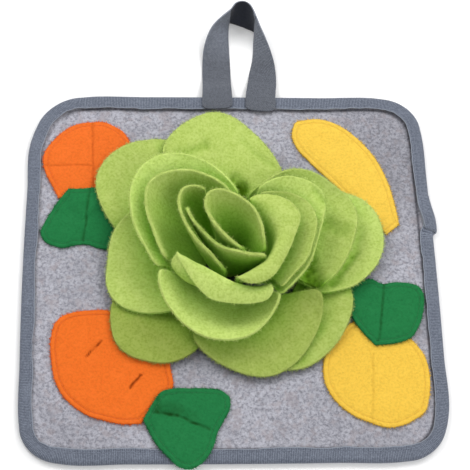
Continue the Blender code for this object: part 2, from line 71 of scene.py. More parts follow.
# Petals: the cut's width and length in mm and the share of that rectangle that the cut fills
PETAL_CUTS = {
    "petal_bud": (137, 75, 0.50),
    "petal_bud_front": (81, 64, 0.64),
    "petal_bud_left": (100, 70, 0.59),
    "petal_wrap_right": (134, 83, 0.48),
    "petal_front_flap": (97, 72, 0.60),
    "petal_left_inner": (137, 77, 0.50),
    "petal_left_outer": (184, 82, 0.46),
    "petal_front_cup": (142, 56, 0.60),
    "petal_right_inner": (120, 67, 0.50),
    "petal_right_middle": (154, 74, 0.44),
    "petal_right_outer": (186, 81, 0.44),
    "petal_low_right": (154, 88, 0.44),
    "petal_low_front": (164, 67, 0.47),
    "petal_low_front_right": (148, 53, 0.56),
    "petal_low_front_left": (135, 62, 0.45),
    "petal_low_left": (147, 66, 0.49),
    "petal_low_back_left": (156, 94, 0.44),
    "petal_low_back": (163, 100, 0.41),
}
HEART = ("petal_bud", "petal_bud_front", "petal_bud_left", "petal_wrap_right", "petal_front_flap")
MIDDLE = (
    "petal_left_inner", "petal_left_outer", "petal_front_cup", "petal_right_inner", "petal_right_middle",
    "petal_right_outer",
)
LOW = tuple(node for node in PETAL_CUTS if node not in HEART + MIDDLE)

# How much of its red, green and blue a fleece loses under painted shade
FLEECE_PAINTED_SHADE_LOSS = (1.0, 1.0, 1.45)

# Painted shade on a whole petal, or painted light below 0: how much darker or paler than the rest it is
# painted
PETAL_PAINTED_LIGHT_AND_SHADE = {
    "petal_low_front_left": 0.3,
    "petal_low_front": 0.17,
    "petal_low_front_right": 0.08,
    "petal_low_back_left": 0.02,
    "petal_low_left": -0.07,
    "petal_low_right": -0.09,
    "petal_left_inner": -0.07,
    "petal_left_outer": -0.25,
    "petal_right_middle": -0.14,
    "petal_front_cup": -0.18,
    "petal_front_flap": -0.18,
}
MOST_PAINTED_SHADE = 0.65  # the most painted shade a petal takes; its blue is nearly gone at this

# Ripples: a soft one's width and a fine one's, and the heights between which a petal comes free
RIPPLE_WIDTHS = (20 * MM, 7 * MM)
RIPPLES_FREE = (5 * MM, 20 * MM)

# The share of its painted shade that a petal keeps, where less than all
PETAL_PAINTED_SHADE_SHARES = {"petal_front_cup": 0.4, "petal_front_flap": 0.5}

# Painted shade on the felt: x and y in mm, how far it reaches, and how dark
FELT_PAINTED_SHADES = ((130, 100, 100, 0.3), (90, -150, 90, 0.13), (-120, -150, 60, 0.13))

# Dents and folds pressed into petals, with shade painted in them as they deepen: the line's ends x, y, x, y
# in mm, then its depth and width
PETAL_FOLDS = {
    "petal_low_back": (
        (-40, 97, -31, 99, 1.3, 8), (-31, 99, -19, 104, 1.8, 6), (8, 110, 20, 98, 0.6, 4),
        (20, 98, 34, 85, 0.9, 4), (4, 73, 9, 66, 2.6, 7), (9, 66, 15, 46, 5.2, 8),
    ),
    "petal_right_outer": ((72, 32, 88, 22, 1.6, 9), (58, 0, 62, -22, 3.4, 11)),
    "petal_low_right": ((78, -19, 99, 10, 2.0, 5), (99, 10, 103, 30, 1.0, 5)),
    "petal_right_middle": ((64, 46, 74, 36, 1.2, 6),),
}

# Fruit and leaves: their fleece, their cut as for a petal, and seams pressed in as the petals' folds are,
# with shade painted in them
FRUIT = {
    "orange_patch": (
        "orange", (71, 74, 0.76), ((-112, 133, -110, 70, 0.45, 1.5), (-150, 93, -112, 93, 0.4, 1.5)),
    ),
    "orange_leaf": ("leaf", (65, 55, 0.76), ((-113, 70, -117, 24, 0.6, 1.7),)),
    "carrot_patch": (
        "carrot", (93, 93, 0.78), ((-113, -76, -101, -63, 0.95, 1.4), (-79, -102, -71, -91, 1.3, 1.5)),
    ),
    "carrot_leaf": (
        "leaf", (65, 65, 0.69),
        (
            (-61, -121, -43, -124, 1.0, 2.6), (-43, -124, -20, -135, 0.7, 2.2),
            (-57, -104, -59, -119, 0.5, 1.8), (-58, -117, -42, -120, 0.5, 7.0),
            (-42, -120, -30, -126, 0.25, 6.0),
        ),
    ),
    "banana_patch": ("banana", (83, 109, 0.49), ()),
    "lemon_patch": ("lemon", (83, 88, 0.75), ((107, -74, 103, -128, 0.25, 1.5),)),
    "lemon_leaf": ("leaf", (64, 58, 0.74), ((120, -14, 112, -64, 0.6, 1.7),)),
}

# Each fleece's material and slot
FLEECES = {
    "orange": ("Orange fleece", "orange_fleece"),
    "carrot": ("Carrot fleece", "orange_fleece"),
    "leaf": ("Dark green fleece", "dark_green_fleece"),
    "banana": ("Banana fleece", "banana_fleece"),
    "lemon": ("Lemon fleece", "lemon_fleece"),
}

# How much shade is painted in the seam along the cut edge, and where more than that
EDGE_SEAM_SHADE = 0.12
EDGE_SEAM_SHADES = {"carrot_patch": 0.4, "banana_patch": 0.2}

# The felt's painted shadow line beside the tape, under the tape's edge: its half width and darkness, and
# where it fades to its least
GAP_WIDTH = 2.0 * MM
GAP_PAINTED_SHADOW = 0.95
GAP_LEAST = 0.3
GAP_FADES = (-150 * MM, -120 * MM)

# Half the felt's side, and the rings of points from a fruit's seam to its middle
HALF_SIDE = 160 * MM
PATCH_RINGS = 34

# Nap: its fibres' width, how far they lean in radians, and the first piece's seed
FRUIT_NAP = (0.1 * MM, 0.9, 11)
ROSE_NAP = (0.07 * MM, 1.1, 31)

# Stitches: their length, the gap between two, and the thread's radius
FRUIT_STITCH = (2.2 * MM, 1.1 * MM, 0.2 * MM)
LOOP_STITCH = (2.4 * MM, 1.0 * MM, 0.25 * MM)
TAPE_THREAD = 0.28 * MM

# Where the webbing bends sharply, from its floor edge to its upper edge
LOOP_RIDGES = (Vector((0.00415, 0.2393)), Vector((0.0253, 0.2311)))

# Where light is painted on the webbing outside its bend, from y to y, and how much paler it makes it
LOOP_PAINTED_LIGHT_SPAN = (195 * MM, 225 * MM)
LOOP_PAINTED_LIGHT = 0.75

# How high the webbing still lies when it begins to sag to the floor, and how high when it sags most
LOOP_SAGS = (5.0 * MM, 1.2 * MM)

# The rows of stitches that hold the webbing's ends, from x, y to x, y in mm
LOOP_ROWS = ((-19.0, 150.5, 2.0, 151.5), (16.5, 149.5, 38.5, 148.5))

# Binding tape
TAPE_WIDTHS_MM = {"right": 11.0, "back": 13.0, "left": 10.5, "front": 11.0}
TAPE_OVERHANG = 1.2 * MM  # how far the tape's fold stands out from the felt's edge
TAPE_LAP = (0.030, 0.066)  # from y to y on the right side, where one end lies on the other

# How high the tape's and the webbing's stitches lie
TAPE_SEAM = 5.05 * MM
LOOP_SEAM = 7.1 * MM

# How a place counts as shut in: rays tried, how steeply they may leave, and the share hidden at 0 and at 1
SHELTER_RAYS = 96
SHELTER_FACING = 0.1
SHELTER_SHARES = (0.25, 0.9)

# The stage: the softboxes' places and width, where the camera looks, and half the floor's width
LIGHTS = {"left": (-0.66, 0.66, 0.9), "right": (0.66, 0.66, 0.9), "fill": (0.55, -0.7, 0.95)}
LIGHT_SIZE = 0.7
LOOKS_AT = Vector((3.6, 31.8, 0.0)) * MM
FLOOR_HALF = 3.0


def linear(colour):
    """The linear colour of an sRGB hex value."""
    values = (int(colour[start:start + 2], 16) / 255.0 for start in (1, 3, 5))
    return tuple(value / 12.92 if value <= 0.04045 else ((value + 0.055) / 1.055) ** 2.4 for value in values)


def colour_property(name, description, colour):
    """A colour setting."""
    return bpy.props.FloatVectorProperty(
        name=name, description=description, default=linear(colour), subtype="COLOR", size=3, min=0.0, max=1.0,
    )


def number_property(name, description, default, **kind):
    """A number setting."""
    return bpy.props.FloatProperty(name=name, description=description, default=default, **kind)


def angle_property(name, description, degrees):
    """An angle setting."""
    return number_property(name, description, math.radians(degrees), subtype="ANGLE")


def length_property(name, description, default):
    """A length setting in metres."""
    return number_property(name, description, default, unit="LENGTH", min=0.0)


def levels_property():
    """A setting for how fine a mesh is."""
    return bpy.props.IntProperty(
        name="Refinement", description="Times the mesh is split", default=3, min=1, max=4,
    )


class FeltSettings(bpy.types.PropertyGroup):
    """Sizes and colours of the felt square."""

    light: colour_property("Light wool", "The light wool in the melange", "#B9B9C3")
    dark: colour_property("Dark wool", "The dark wool in the melange", "#7F7F88")
    warm: colour_property("Warm wool", "The faintly rosy wool in the melange", "#A3999C")
    # Painted shade: multiplies the felt under the rose and in its line beside the tape
    painted_shade_tint: colour_property("Felt in the dark", "Multiplies the felt's colour under the rose", "#7C7C81")
    ring_step: length_property("Mesh spacing", "Distance between the felt's rings of points", 4.5 * MM)
    fleck: length_property("Fleck size", "Width of a fleck in the melange", 2.4 * MM)
    fibre: colour_property("Loose fibre", "A loose fibre on the felt's top", "#A9A9B2")
    fibre_length: length_property("Fibre length", "Length of a loose surface fibre", 2.8 * MM)
    fibre_density: number_property("Fibres", "Loose fibres on a square metre", 50000.0, min=0.0)


class BindingSettings(bpy.types.PropertyGroup):
    """Sizes and colours of the binding tape."""

    light: colour_property("Tape", "The tape's lit threads", "#7C8391")
    dark: colour_property("Tape furrows", "The tape between its ribs", "#585F6D")
    selvedge: colour_property("Selvedge", "The paler woven edge of the tape", "#8C929E")
    rib: length_property("Rib spacing", "Distance between the tape's ribs", 1.3 * MM)
    station: length_property("Mesh spacing", "Distance between sections along the tape", 2.2 * MM)
    stitch: length_property("Stitch length", "Length of one stitch", 2.6 * MM)
    stitch_gap: length_property("Stitch gap", "Distance between two stitches", 1.0 * MM)
    stitch_inset: length_property("Stitch inset", "From the tape's inner edge to its stitches", 2.0 * MM)


class LoopSettings(bpy.types.PropertyGroup):
    """Sizes and colours of the webbing loop."""

    light: colour_property("Webbing", "The webbing's lit threads", "#6C7079")
    dark: colour_property("Webbing furrows", "The webbing between its ribs", "#4A4F58")
    rib: length_property("Rib spacing", "Distance between the webbing's ribs", 1.5 * MM)
    # Painted shade inside the webbing's bend
    painted_shade_tint: colour_property("Bend shade", "Multiplies the webbing's colour inside its bend", "#6A6F80")
    levels: levels_property()


class FruitSettings(bpy.types.PropertyGroup):
    """Sizes and colours of the fruit and the leaves."""

    orange: colour_property("Orange", "The orange's fleece", "#EA7029")
    carrot: colour_property("Carrot", "The carrot's fleece", "#EC7126")
    leaf: colour_property("Leaf", "The leaves' fleece", "#217641")
    banana: colour_property("Banana", "The banana's fleece", "#EEC64E")
    lemon: colour_property("Lemon", "The lemon's fleece", "#EEC34A")
    # Painted shade in the fruit's seams and pressed folds
    painted_seam_shade_tint: colour_property("Seam shade", "Multiplies a fleece's colour in its seams", "#C3B399")
    spacing: length_property("Mesh spacing", "Distance between points along an outline", 1.5 * MM)
    seam: length_property("Seam inset", "Distance from the cut edge to the seam", 3.8 * MM)
    nap: length_property("Nap length", "Length of the fleece's nap", 0.9 * MM)
    nap_density: number_property("Nap", "Nap fibres on a square metre", 280000.0, min=0.0)
    rim_density: number_property("Rim nap", "More fibres on a square metre at a cut edge", 560000.0, min=0.0)


class RoseSettings(bpy.types.PropertyGroup):
    """Sizes and colours of the rose."""

    # Also the painted highlight along the petals' cut edges
    light: colour_property("Nap tips", "The fleece where its nap catches the light", "#C5D67B")
    middle: colour_property("Fleece", "The fleece's main green", "#B4C869")
    shade: colour_property("Nap roots", "The fleece between its nap", "#A2B856")
    # Painted shade deep in folds and where other petals hide the light
    painted_shade_tint: colour_property("Fold shade", "Multiplies the fleece's colour deep in a fold", "#B4E480")
    levels: levels_property()
    ripple: length_property("Ripple", "Height of the soft ripples in a petal", 0.7 * MM)
    nap: length_property("Nap length", "Length of the fleece's nap", 1.1 * MM)
    nap_density: number_property("Nap", "Nap fibres on a square metre", 150000.0, min=0.0)
    rim_density: number_property("Rim nap", "More fibres on a square metre at a cut edge", 900000.0, min=0.0)


class StageSettings(bpy.types.PropertyGroup):
    """The camera, the lights and the floor."""

    floor: colour_property("Floor", "The floor's colour", "#FFFFFF")
    elevation: angle_property("Elevation", "The camera above the floor", 61.7)
    azimuth: angle_property("Azimuth", "The camera's turn round the mat", -6.46)
    roll: angle_property("Roll", "The camera's turn about its own axis", 5.73)
    distance: length_property("Distance", "Camera to the place it looks at", 1.192)
    lens: number_property("Lens", "Focal length in millimetres on a sensor 36 mm wide", 113.9, min=1.0)
    left: number_property("Left light", "Softbox behind, left", 7.2, unit="POWER")
    right: number_property("Right light", "Softbox behind, right", 6.2, unit="POWER")
    fill: number_property("Fill light", "Softbox in front", 4.8, unit="POWER")
    sky: number_property("Sky", "Strength of the even light", 0.5, min=0.0)


# Mesh helpers


def packed_surface(node):
    """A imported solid's surface with its doubles merged and its triangles paired into quads."""
    surface = bmesh.new()
    surface.from_mesh(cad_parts[node].data)
    bmesh.ops.remove_doubles(surface, verts=surface.verts, dist=MERGE)
    bmesh.ops.join_triangles(
        surface, faces=surface.faces, angle_face_threshold=math.radians(60),
        angle_shape_threshold=math.radians(70),
    )
    return surface


def piece_from(name, mesh):
    """A new object at the origin."""
    piece = bpy.data.objects.new(name, mesh)
    bpy.context.scene.collection.objects.link(piece)
    mesh.shade_smooth()
    return piece


def settle(piece):
    """Make the piece's modifiers part of its mesh."""
    graph = bpy.context.evaluated_depsgraph_get()
    made = bpy.data.meshes.new_from_object(piece.evaluated_get(graph))
    piece.modifiers.clear()
    old = piece.data
    piece.data = made
    bpy.data.meshes.remove(old)
    return piece


def even_directions(count):
    """Directions spread evenly over a sphere."""
    turn = math.pi * (3.0 - math.sqrt(5.0))
    directions = []
    for index in range(count):
        level = 1.0 - (2 * index + 1) / count
        around = Vector((math.cos(turn * index), math.sin(turn * index), 0.0))
        directions.append(around * math.sqrt(1.0 - level * level) + Vector((0.0, 0.0, level)))
    return directions


def gathered_tree(nodes):
    """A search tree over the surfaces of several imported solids."""
    gathered = bmesh.new()
    for node in nodes:
        gathered.from_mesh(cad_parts[node].data)
    tree = BVHTree.FromBMesh(gathered)
    gathered.free()
    return tree


def shelters(vertices, cover, reach=42 * MM):
    """For each vertex, how much of what it faces is other cloth close by: 0 open, 1 shut in."""
    directions = even_directions(SHELTER_RAYS)
    found = []
    for vertex in vertices:
        hidden = total = 0.0
        start = vertex.co + vertex.normal * 0.2 * MM
        for direction in directions:
            facing = direction.dot(vertex.normal)
            if facing > SHELTER_FACING:
                total += facing
                hidden += facing if cover.ray_cast(start, direction, reach)[0] else 0.0
        found.append(rising(hidden / total, *SHELTER_SHARES))
    return found


def refined_sheet(name, node, thick, levels, firmness, prepare, ridges=()):
    """A packed cloth split into fine faces, with its cut edges and ridges kept and its rim marked.

    Its coarse surface goes through prepare first, and the marks made there are split with it.
    """
    surface = packed_surface(node)
    prepare(surface)
    rim = surface.verts.layers.float.new("rim")
    crease = surface.edges.layers.float.new("crease_edge")
    across = {edge for edge in surface.edges if edge.calc_length() < 1.2 * thick}
    for face in surface.faces:
        if sum(edge in across for edge in face.edges) == 2:
            for corner in face.verts:
                corner[rim] = 1.0
            for edge in face.edges:
                if edge not in across:
                    edge[crease] = firmness
    for edge in surface.edges:
        if any(all((end.co.to_2d() - ridge).length < 2.3 * MM for end in edge.verts) for ridge in ridges):
            edge[crease] = 1.0
    mesh = bpy.data.meshes.new(name)
    surface.to_mesh(mesh)
    surface.free()
    piece = piece_from(name, mesh)
    split = piece.modifiers.new("Split", "SUBSURF")
    split.levels = levels
    split.render_levels = levels
    return settle(piece)


def rising(value, low, high):
    """0 at low, 1 at high and in proportion between them."""
    return min(max((value - low) / (high - low), 0.0), 1.0)


def fading(distance, width):
    """1 at no distance, falling softly to 0 at the width."""
    share = min(abs(distance) / width, 1.0)
    return (1.0 - share * share) ** 2


def seam_depth(seams, x, y):
    """How deep the seams and folds press at a place, all in millimetres."""
    place = Vector((x, y, 0.0))
    waver = noise.noise_vector(place / 9.0)
    place += Vector((waver.x, waver.y, 0.0))
    uneven = 1.0 + 0.6 * noise.noise(place / 4.0)
    deepest = 0.0
    for x1, y1, x2, y2, depth, width in seams:
        nearest, share = intersect_point_line(place, Vector((x1, y1, 0.0)), Vector((x2, y2, 0.0)))
        if not 0.0 <= share <= 1.0:
            nearest = Vector((x1, y1, 0.0)) if share < 0.0 else Vector((x2, y2, 0.0))
        deepest = max(deepest, uneven * depth * fading((place - nearest).length, width))
    return deepest


def outline_of(node, height=None):
    """A flat piece's cut edge as (x, y) places, counter-clockwise."""
    surface = packed_surface(node)
    places = []
    for edge in surface.edges:
        low, high = sorted((vertex.co for vertex in edge.verts), key=lambda place: place.z)
        upright = math.hypot(high.x - low.x, high.y - low.y) < 0.05 * MM and high.z - low.z > MM
        if upright and (height is None or abs(low.z - height) < 0.05 * MM):
            places.append(Vector((low.x, low.y)))
    surface.free()
    middle = sum(places, Vector((0.0, 0.0))) / len(places)
    return sorted(places, key=lambda place: math.atan2(place.y - middle.y, place.x - middle.x))


def smooth_ring(places, spacing, sharp=math.radians(48)):
    """A closed outline with a smooth curve between its places, kept sharp at its corners."""
    count = len(places)

    def turning(index):
        before = places[index] - places[index - 1]
        after = places[(index + 1) % count] - places[index]
        return abs(before.angle_signed(after)) > sharp

    def slope(before, here, after):
        first, second = (here - before).length, (after - here).length
        return (here - before) / first - (after - before) / (first + second) + (after - here) / second

    corner = [turning(index) for index in range(count)]
    fine = []
    for index in range(count):
        start, end = places[index], places[(index + 1) % count]
        before = start - (end - start) if corner[index] else places[index - 1]
        beyond = end + (end - start) if corner[(index + 1) % count] else places[(index + 2) % count]
        run = (end - start).length
        leaving, arriving = slope(before, start, end) * run, slope(start, end, beyond) * run
        steps = max(1, round(run / spacing))
        for step in range(steps):
            t = step / steps
            fine.append(
                (2 * t**3 - 3 * t**2 + 1) * start + (t**3 - 2 * t**2 + t) * leaving
                + (3 * t**2 - 2 * t**3) * end + (t**3 - t**2) * arriving
            )
    return fine


def ring_normals(ring):
    """The outward directions of a counter-clockwise outline."""
    normals = []
    for index, _ in enumerate(ring):
        run = (ring[(index + 1) % len(ring)] - ring[index - 1]).normalized()
        normals.append(Vector((run.y, -run.x)))
    return normals


def laid_rings(ring, seam_insets, inner_steps):
    """Rings of places from an outline to its middle: close together at the seam, then even."""
    middle = sum(ring, Vector((0.0, 0.0))) / len(ring)
    normals = ring_normals(ring)
    rings = []
    for index in range(len(seam_insets) + inner_steps - 1):
        places = []
        for place, normal in zip(ring, normals):
            ray = middle - place
            slant = max(0.5, -normal.dot(ray.normalized()))
            seam = min(seam_insets[-1] / slant / ray.length, 0.6)
            if index < len(seam_insets):
                share = seam * seam_insets[index] / seam_insets[-1]
            else:
                share = seam + (1.0 - seam) * (index - len(seam_insets) + 1) / inner_steps
            places.append(place + ray * share)
        rings.append(places)
    return rings, middle


def mark(mesh, name, values):
    """Keep a number at each of a mesh's points."""
    mesh.attributes.new(name, "FLOAT", "POINT").data.foreach_set("value", values)


def flat_cloth(name, node, ring, seam_insets, inner_steps, thick, height):
    """A cloth that lies flat: its top is at height(x, y, inset) and its underside below that."""
    rings, middle = laid_rings(ring, seam_insets, inner_steps)
    surface = packed_surface(node)
    tree = BVHTree.FromBMesh(surface)
    surface.free()

    def packed_top(x, y):
        hit = tree.ray_cast(Vector((x, y, 0.2)), Vector((0.0, 0.0, -1.0)))[0]
        if hit is None:
            hit = tree.find_nearest(Vector((x, y, 0.01)))[0]
        return hit.z

    tops = [[packed_top(*place.lerp(middle, 0.02)) for place in places] for places in rings]
    core = packed_top(*middle)
    count = len(ring)
    for _ in range(4):
        for index in range(1, len(rings)):
            inner = tops[index + 1] if index + 1 < len(rings) else [core] * count
            outer, here = tops[index - 1], tops[index]
            after = here[1:] + here[:1]
            tops[index] = [
                0.4 * here[spot] + 0.15 * (here[spot - 1] + after[spot] + outer[spot] + inner[spot])
                for spot in range(count)
            ]
    points, marks = [], []
    for side in (1, 0):
        for index, places in enumerate(rings):
            inset = seam_insets[min(index, len(seam_insets) - 1)]
            for spot, place in enumerate(places):
                top = tops[index][spot]
                rise = height(place.x, place.y, inset) if side else edge_lift(inset) - thick
                points.append((place.x, place.y, top + rise))
                marks.append(1.0 if inset < MM and index < len(seam_insets) else 0.0)
        points.append((middle.x, middle.y, core + (height(middle.x, middle.y, 1.0) if side else -thick)))
        marks.append(0.0)
    faces = []
    under = len(rings) * count + 1
    for spot in range(count):
        beside = (spot + 1) % count
        for outer in range(0, (len(rings) - 1) * count, count):
            quad = (outer + spot, outer + beside, outer + count + beside, outer + count + spot)
            faces += [quad, tuple(under + corner for corner in reversed(quad))]
        last = (len(rings) - 1) * count
        faces += [
            (last + spot, last + beside, under - 1),
            (under + last + beside, under + last + spot, 2 * under - 1),
            (spot, under + spot, under + beside, beside),
        ]
    mesh = bpy.data.meshes.new(name)
    mesh.from_pydata(points, [], faces)
    mark(mesh, "rim", marks)
    return piece_from(name, mesh)


def edge_lift(inset):
    """How much the underside rises to a rounded cut edge."""
    return 0.3 * MM * fading(inset, 0.8 * MM)


def edge_drop(inset):
    """How much the top falls to a rounded cut edge."""
    return 0.55 * MM * fading(inset, 1.1 * MM)


# Nodes


def opaque(colour):
    """A colour with a full alpha."""
    return (*colour, 1.0)


def add_node(tree, kind, sockets=None, **settings):
    """A new node with its settings. A socket takes a value, an output, or a node for its first output."""
    node = tree.nodes.new(kind)
    for name, value in settings.items():
        setattr(node, name, value)
    for socket, value in (sockets or {}).items():
        if isinstance(value, bpy.types.Node):
            value = next(output for output in value.outputs if output.enabled)
        if isinstance(value, bpy.types.NodeSocket):
            tree.links.new(value, node.inputs[socket])
        else:
            node.inputs[socket].default_value = opaque(value) if node.inputs[socket].type == "RGBA" else value
    return node


def geometry_tree(name, *inputs):
    """A Geometry Nodes tree with named inputs, what it is given and its output node."""
    tree = bpy.data.node_groups.new(name, "GeometryNodeTree")
    kinds = {"Geometry": "Geometry", "Seed": "Int", "Material": "Material"}
    tree.interface.new_socket(name="Geometry", in_out="OUTPUT", socket_type="NodeSocketGeometry")
    for socket in ("Geometry", *inputs):
        tree.interface.new_socket(
            name=socket, in_out="INPUT", socket_type=f"NodeSocket{kinds.get(socket, 'Float')}",
        )
    return tree, tree.nodes.new("NodeGroupInput").outputs, tree.nodes.new("NodeGroupOutput")


def finish_tree(tree, given, result, points, shape, turn, size=(1.0, 1.0, 1.0)):
    """End a tree with a shape on each of its points, as real geometry in its material."""
    placed = add_node(tree, "GeometryNodeInstanceOnPoints", {
        "Points": points, "Instance": shape, "Rotation": turn, "Scale": size,
    })
    real = add_node(tree, "GeometryNodeRealizeInstances", {"Geometry": placed})
    dressed = add_node(tree, "GeometryNodeSetMaterial", {"Geometry": real, "Material": given["Material"]})
    tree.links.new(dressed.outputs[0], result.inputs["Geometry"])
    return tree


def add_strand(tree, length, crown, radius, steps, sides):
    """A short round strand along X whose middle is drawn to its crown."""
    back, ahead = (
        add_node(tree, "ShaderNodeCombineXYZ", {
            "X": add_node(tree, "ShaderNodeMath", {0: length, 1: share}, operation="MULTIPLY"),
        })
        for share in (-0.5, 0.5)
    )
    arch = add_node(
        tree, "GeometryNodeCurveQuadraticBezier",
        {"Resolution": steps, "Start": back, "Middle": crown, "End": ahead},
    )
    girth = add_node(tree, "GeometryNodeCurvePrimitiveCircle", {"Resolution": sides, "Radius": radius})
    shape = {"Curve": arch, "Profile Curve": girth, "Fill Caps": True}
    return add_node(tree, "GeometryNodeCurveToMesh", shape)


def stitch_tree():
    """Stitches, as short rounded threads, one after another along a line."""
    tree, given, result = geometry_tree("Stitch row", "Stitch", "Gap", "Thread", "Material")
    path = add_node(tree, "GeometryNodeMeshToCurve", {"Mesh": given["Geometry"]})
    pitch = add_node(tree, "ShaderNodeMath", {0: given["Stitch"], 1: given["Gap"]}, operation="ADD")
    spots = add_node(tree, "GeometryNodeResampleCurve", {"Curve": path, "Length": pitch}, mode="LENGTH")
    rise = add_node(tree, "ShaderNodeMath", {0: given["Thread"], 1: 0.8}, operation="MULTIPLY")
    crown = add_node(tree, "ShaderNodeCombineXYZ", {"Z": rise})
    tangent = add_node(tree, "GeometryNodeInputTangent")
    turn = add_node(
        tree, "FunctionNodeAlignRotationToVector", {"Factor": 1.0, "Vector": tangent}, axis="X",
        pivot_axis="Z",
    )
    thread = add_strand(tree, given["Stitch"], crown, given["Thread"], 4, 6)
    return finish_tree(tree, given, result, spots, thread, turn)


def nap_tree():
    """Brushed nap, as fine spikes that stand on a cloth, thicker and longer at its cut edges."""
    tree, given, result = geometry_tree(
        "Nap", "Density", "Rim density", "Length", "Width", "Tilt", "Seed", "Material",
    )
    rim = add_node(tree, "GeometryNodeInputNamedAttribute", {"Name": "rim"}, data_type="FLOAT")
    near = add_node(tree, "ShaderNodeMath", {0: rim, 1: 6.0}, operation="POWER")
    density = add_node(
        tree, "ShaderNodeMath", {0: near, 1: given["Rim density"], 2: given["Density"]},
        operation="MULTIPLY_ADD",
    )
    spots = add_node(
        tree, "GeometryNodeDistributePointsOnFaces",
        {"Mesh": given["Geometry"], "Density": density, "Seed": given["Seed"]}, distribute_method="RANDOM",
    )
    spike = add_node(
        tree, "GeometryNodeMeshCone",
        {"Vertices": 3, "Radius Top": 0.0, "Radius Bottom": given["Width"], "Depth": given["Length"]},
        fill_type="NGON",
    )
    lean = add_node(tree, "ShaderNodeMath", {0: given["Tilt"], 1: -1.0}, operation="MULTIPLY")
    least = add_node(tree, "ShaderNodeCombineXYZ", {"X": lean, "Y": lean, "Z": -math.pi})
    most = add_node(tree, "ShaderNodeCombineXYZ", {"X": given["Tilt"], "Y": given["Tilt"], "Z": math.pi})
    angles = add_node(tree, "FunctionNodeRandomValue", {0: least, 1: most}, data_type="FLOAT_VECTOR")
    bend = add_node(tree, "FunctionNodeEulerToRotation", {0: angles})
    turn = add_node(
        tree, "FunctionNodeRotateRotation", {0: spots.outputs["Rotation"], 1: bend}, rotation_space="LOCAL",
    )
    longer = add_node(tree, "ShaderNodeMath", {0: near, 1: 1.3, 2: 1.0}, operation="MULTIPLY_ADD")
    chance = add_node(tree, "FunctionNodeRandomValue", {2: 0.5, 3: 1.3}, data_type="FLOAT")
    size = add_node(tree, "ShaderNodeMath", {0: chance, 1: longer}, operation="MULTIPLY")
    return finish_tree(tree, given, result, spots, spike, turn, size)


def fibre_tree():
    """Loose curled fibres that lie on a felt's top."""
    tree, given, result = geometry_tree("Loose fibres", "Density", "Length", "Width", "Seed", "Material")
    normal = add_node(tree, "GeometryNodeInputNormal")
    split = add_node(tree, "ShaderNodeSeparateXYZ", {0: normal})
    upward = add_node(tree, "FunctionNodeCompare", {0: split.outputs["Z"], 1: 0.9}, operation="GREATER_THAN")
    spots = add_node(
        tree, "GeometryNodeDistributePointsOnFaces",
        {"Mesh": given["Geometry"], "Selection": upward, "Density": given["Density"], "Seed": given["Seed"]},
        distribute_method="RANDOM",
    )
    aside = add_node(tree, "ShaderNodeMath", {0: given["Length"], 1: 0.5}, operation="MULTIPLY")
    crown = add_node(tree, "ShaderNodeCombineXYZ", {"Y": aside, "Z": 0.3 * MM})
    fibre = add_strand(tree, given["Length"], crown, given["Width"], 3, 3)
    turns = {0: (0.0, 0.0, 0.0), 1: (0.0, 0.0, 2 * math.pi)}
    spin = add_node(tree, "FunctionNodeRandomValue", turns, data_type="FLOAT_VECTOR")
    turn = add_node(tree, "FunctionNodeEulerToRotation", {0: spin})
    size = add_node(tree, "FunctionNodeRandomValue", {2: 0.4, 3: 1.4}, data_type="FLOAT")
    return finish_tree(tree, given, result, spots, fibre, turn, size)


def grown(name, base, tree, values):
    """The plain mesh that a Geometry Nodes tree grows from a piece."""
    piece = piece_from(name, base.copy())
    modifier = piece.modifiers.new("Grow", "NODES")
    modifier.node_group = tree
    for item in tree.interface.items_tree:
        if item.item_type == "SOCKET" and item.in_out == "INPUT" and item.name in values:
            modifier[item.identifier] = values[item.name]
    settle(piece)
    piece.data.shade_smooth()
    return piece


def brush(name, base, slot, nap, settings, sizes, number):
    """Grow brushed nap on a cloth; the sizes are the fibres' width, their lean and the first cloth's seed."""
    width, tilt, first = sizes
    brushed = grown(name, base, bpy.data.node_groups.get("Nap") or nap_tree(), {
        "Density": settings.nap_density, "Rim density": settings.rim_density, "Length": settings.nap,
        "Width": width, "Tilt": tilt, "Seed": first + number, "Material": nap,
    })
    dress(brushed, nap, slot)


def sew(name, places, closed, sizes, slot, thread):
    """Lay a row of stitches; the sizes are the stitch's length, the gap and the thread's radius."""
    edges = [(index, index + 1) for index in range(len(places) - 1)]
    if closed:
        edges.append((len(places) - 1, 0))
    path = bpy.data.meshes.new(name)
    path.from_pydata(places, edges, [])
    row = grown(name, path, bpy.data.node_groups.get("Stitch row") or stitch_tree(), {
        **dict(zip(("Stitch", "Gap", "Thread"), sizes)), "Material": thread,
    })
    bpy.data.meshes.remove(path)
    dress(row, thread, slot)


# Materials


def new_material(name, values):
    """A material, its tree and its shader, whose own sockets take the values."""
    material = bpy.data.materials.new(name)
    material.use_nodes = True
    shader = material.node_tree.nodes["Principled BSDF"]
    for socket, value in values.items():
        shader.inputs[socket].default_value = opaque(value) if shader.inputs[socket].type == "RGBA" else value
    return material, material.node_tree, shader


def layered(tree, colour, other, source, low, high, share=1.0, mode="MIX"):
    """A colour with a share of another laid over it where the source rises from low to high."""
    rise = add_node(
        tree, "ShaderNodeMapRange", {"Value": source, "From Min": low, "From Max": high, "To Max": share},
        interpolation_type="SMOOTHSTEP",
    )
    return add_node(
        tree, "ShaderNodeMix", {0: rise, 6: colour, 7: other}, data_type="RGBA", clamp_factor=True,
        blend_type=mode,
    )


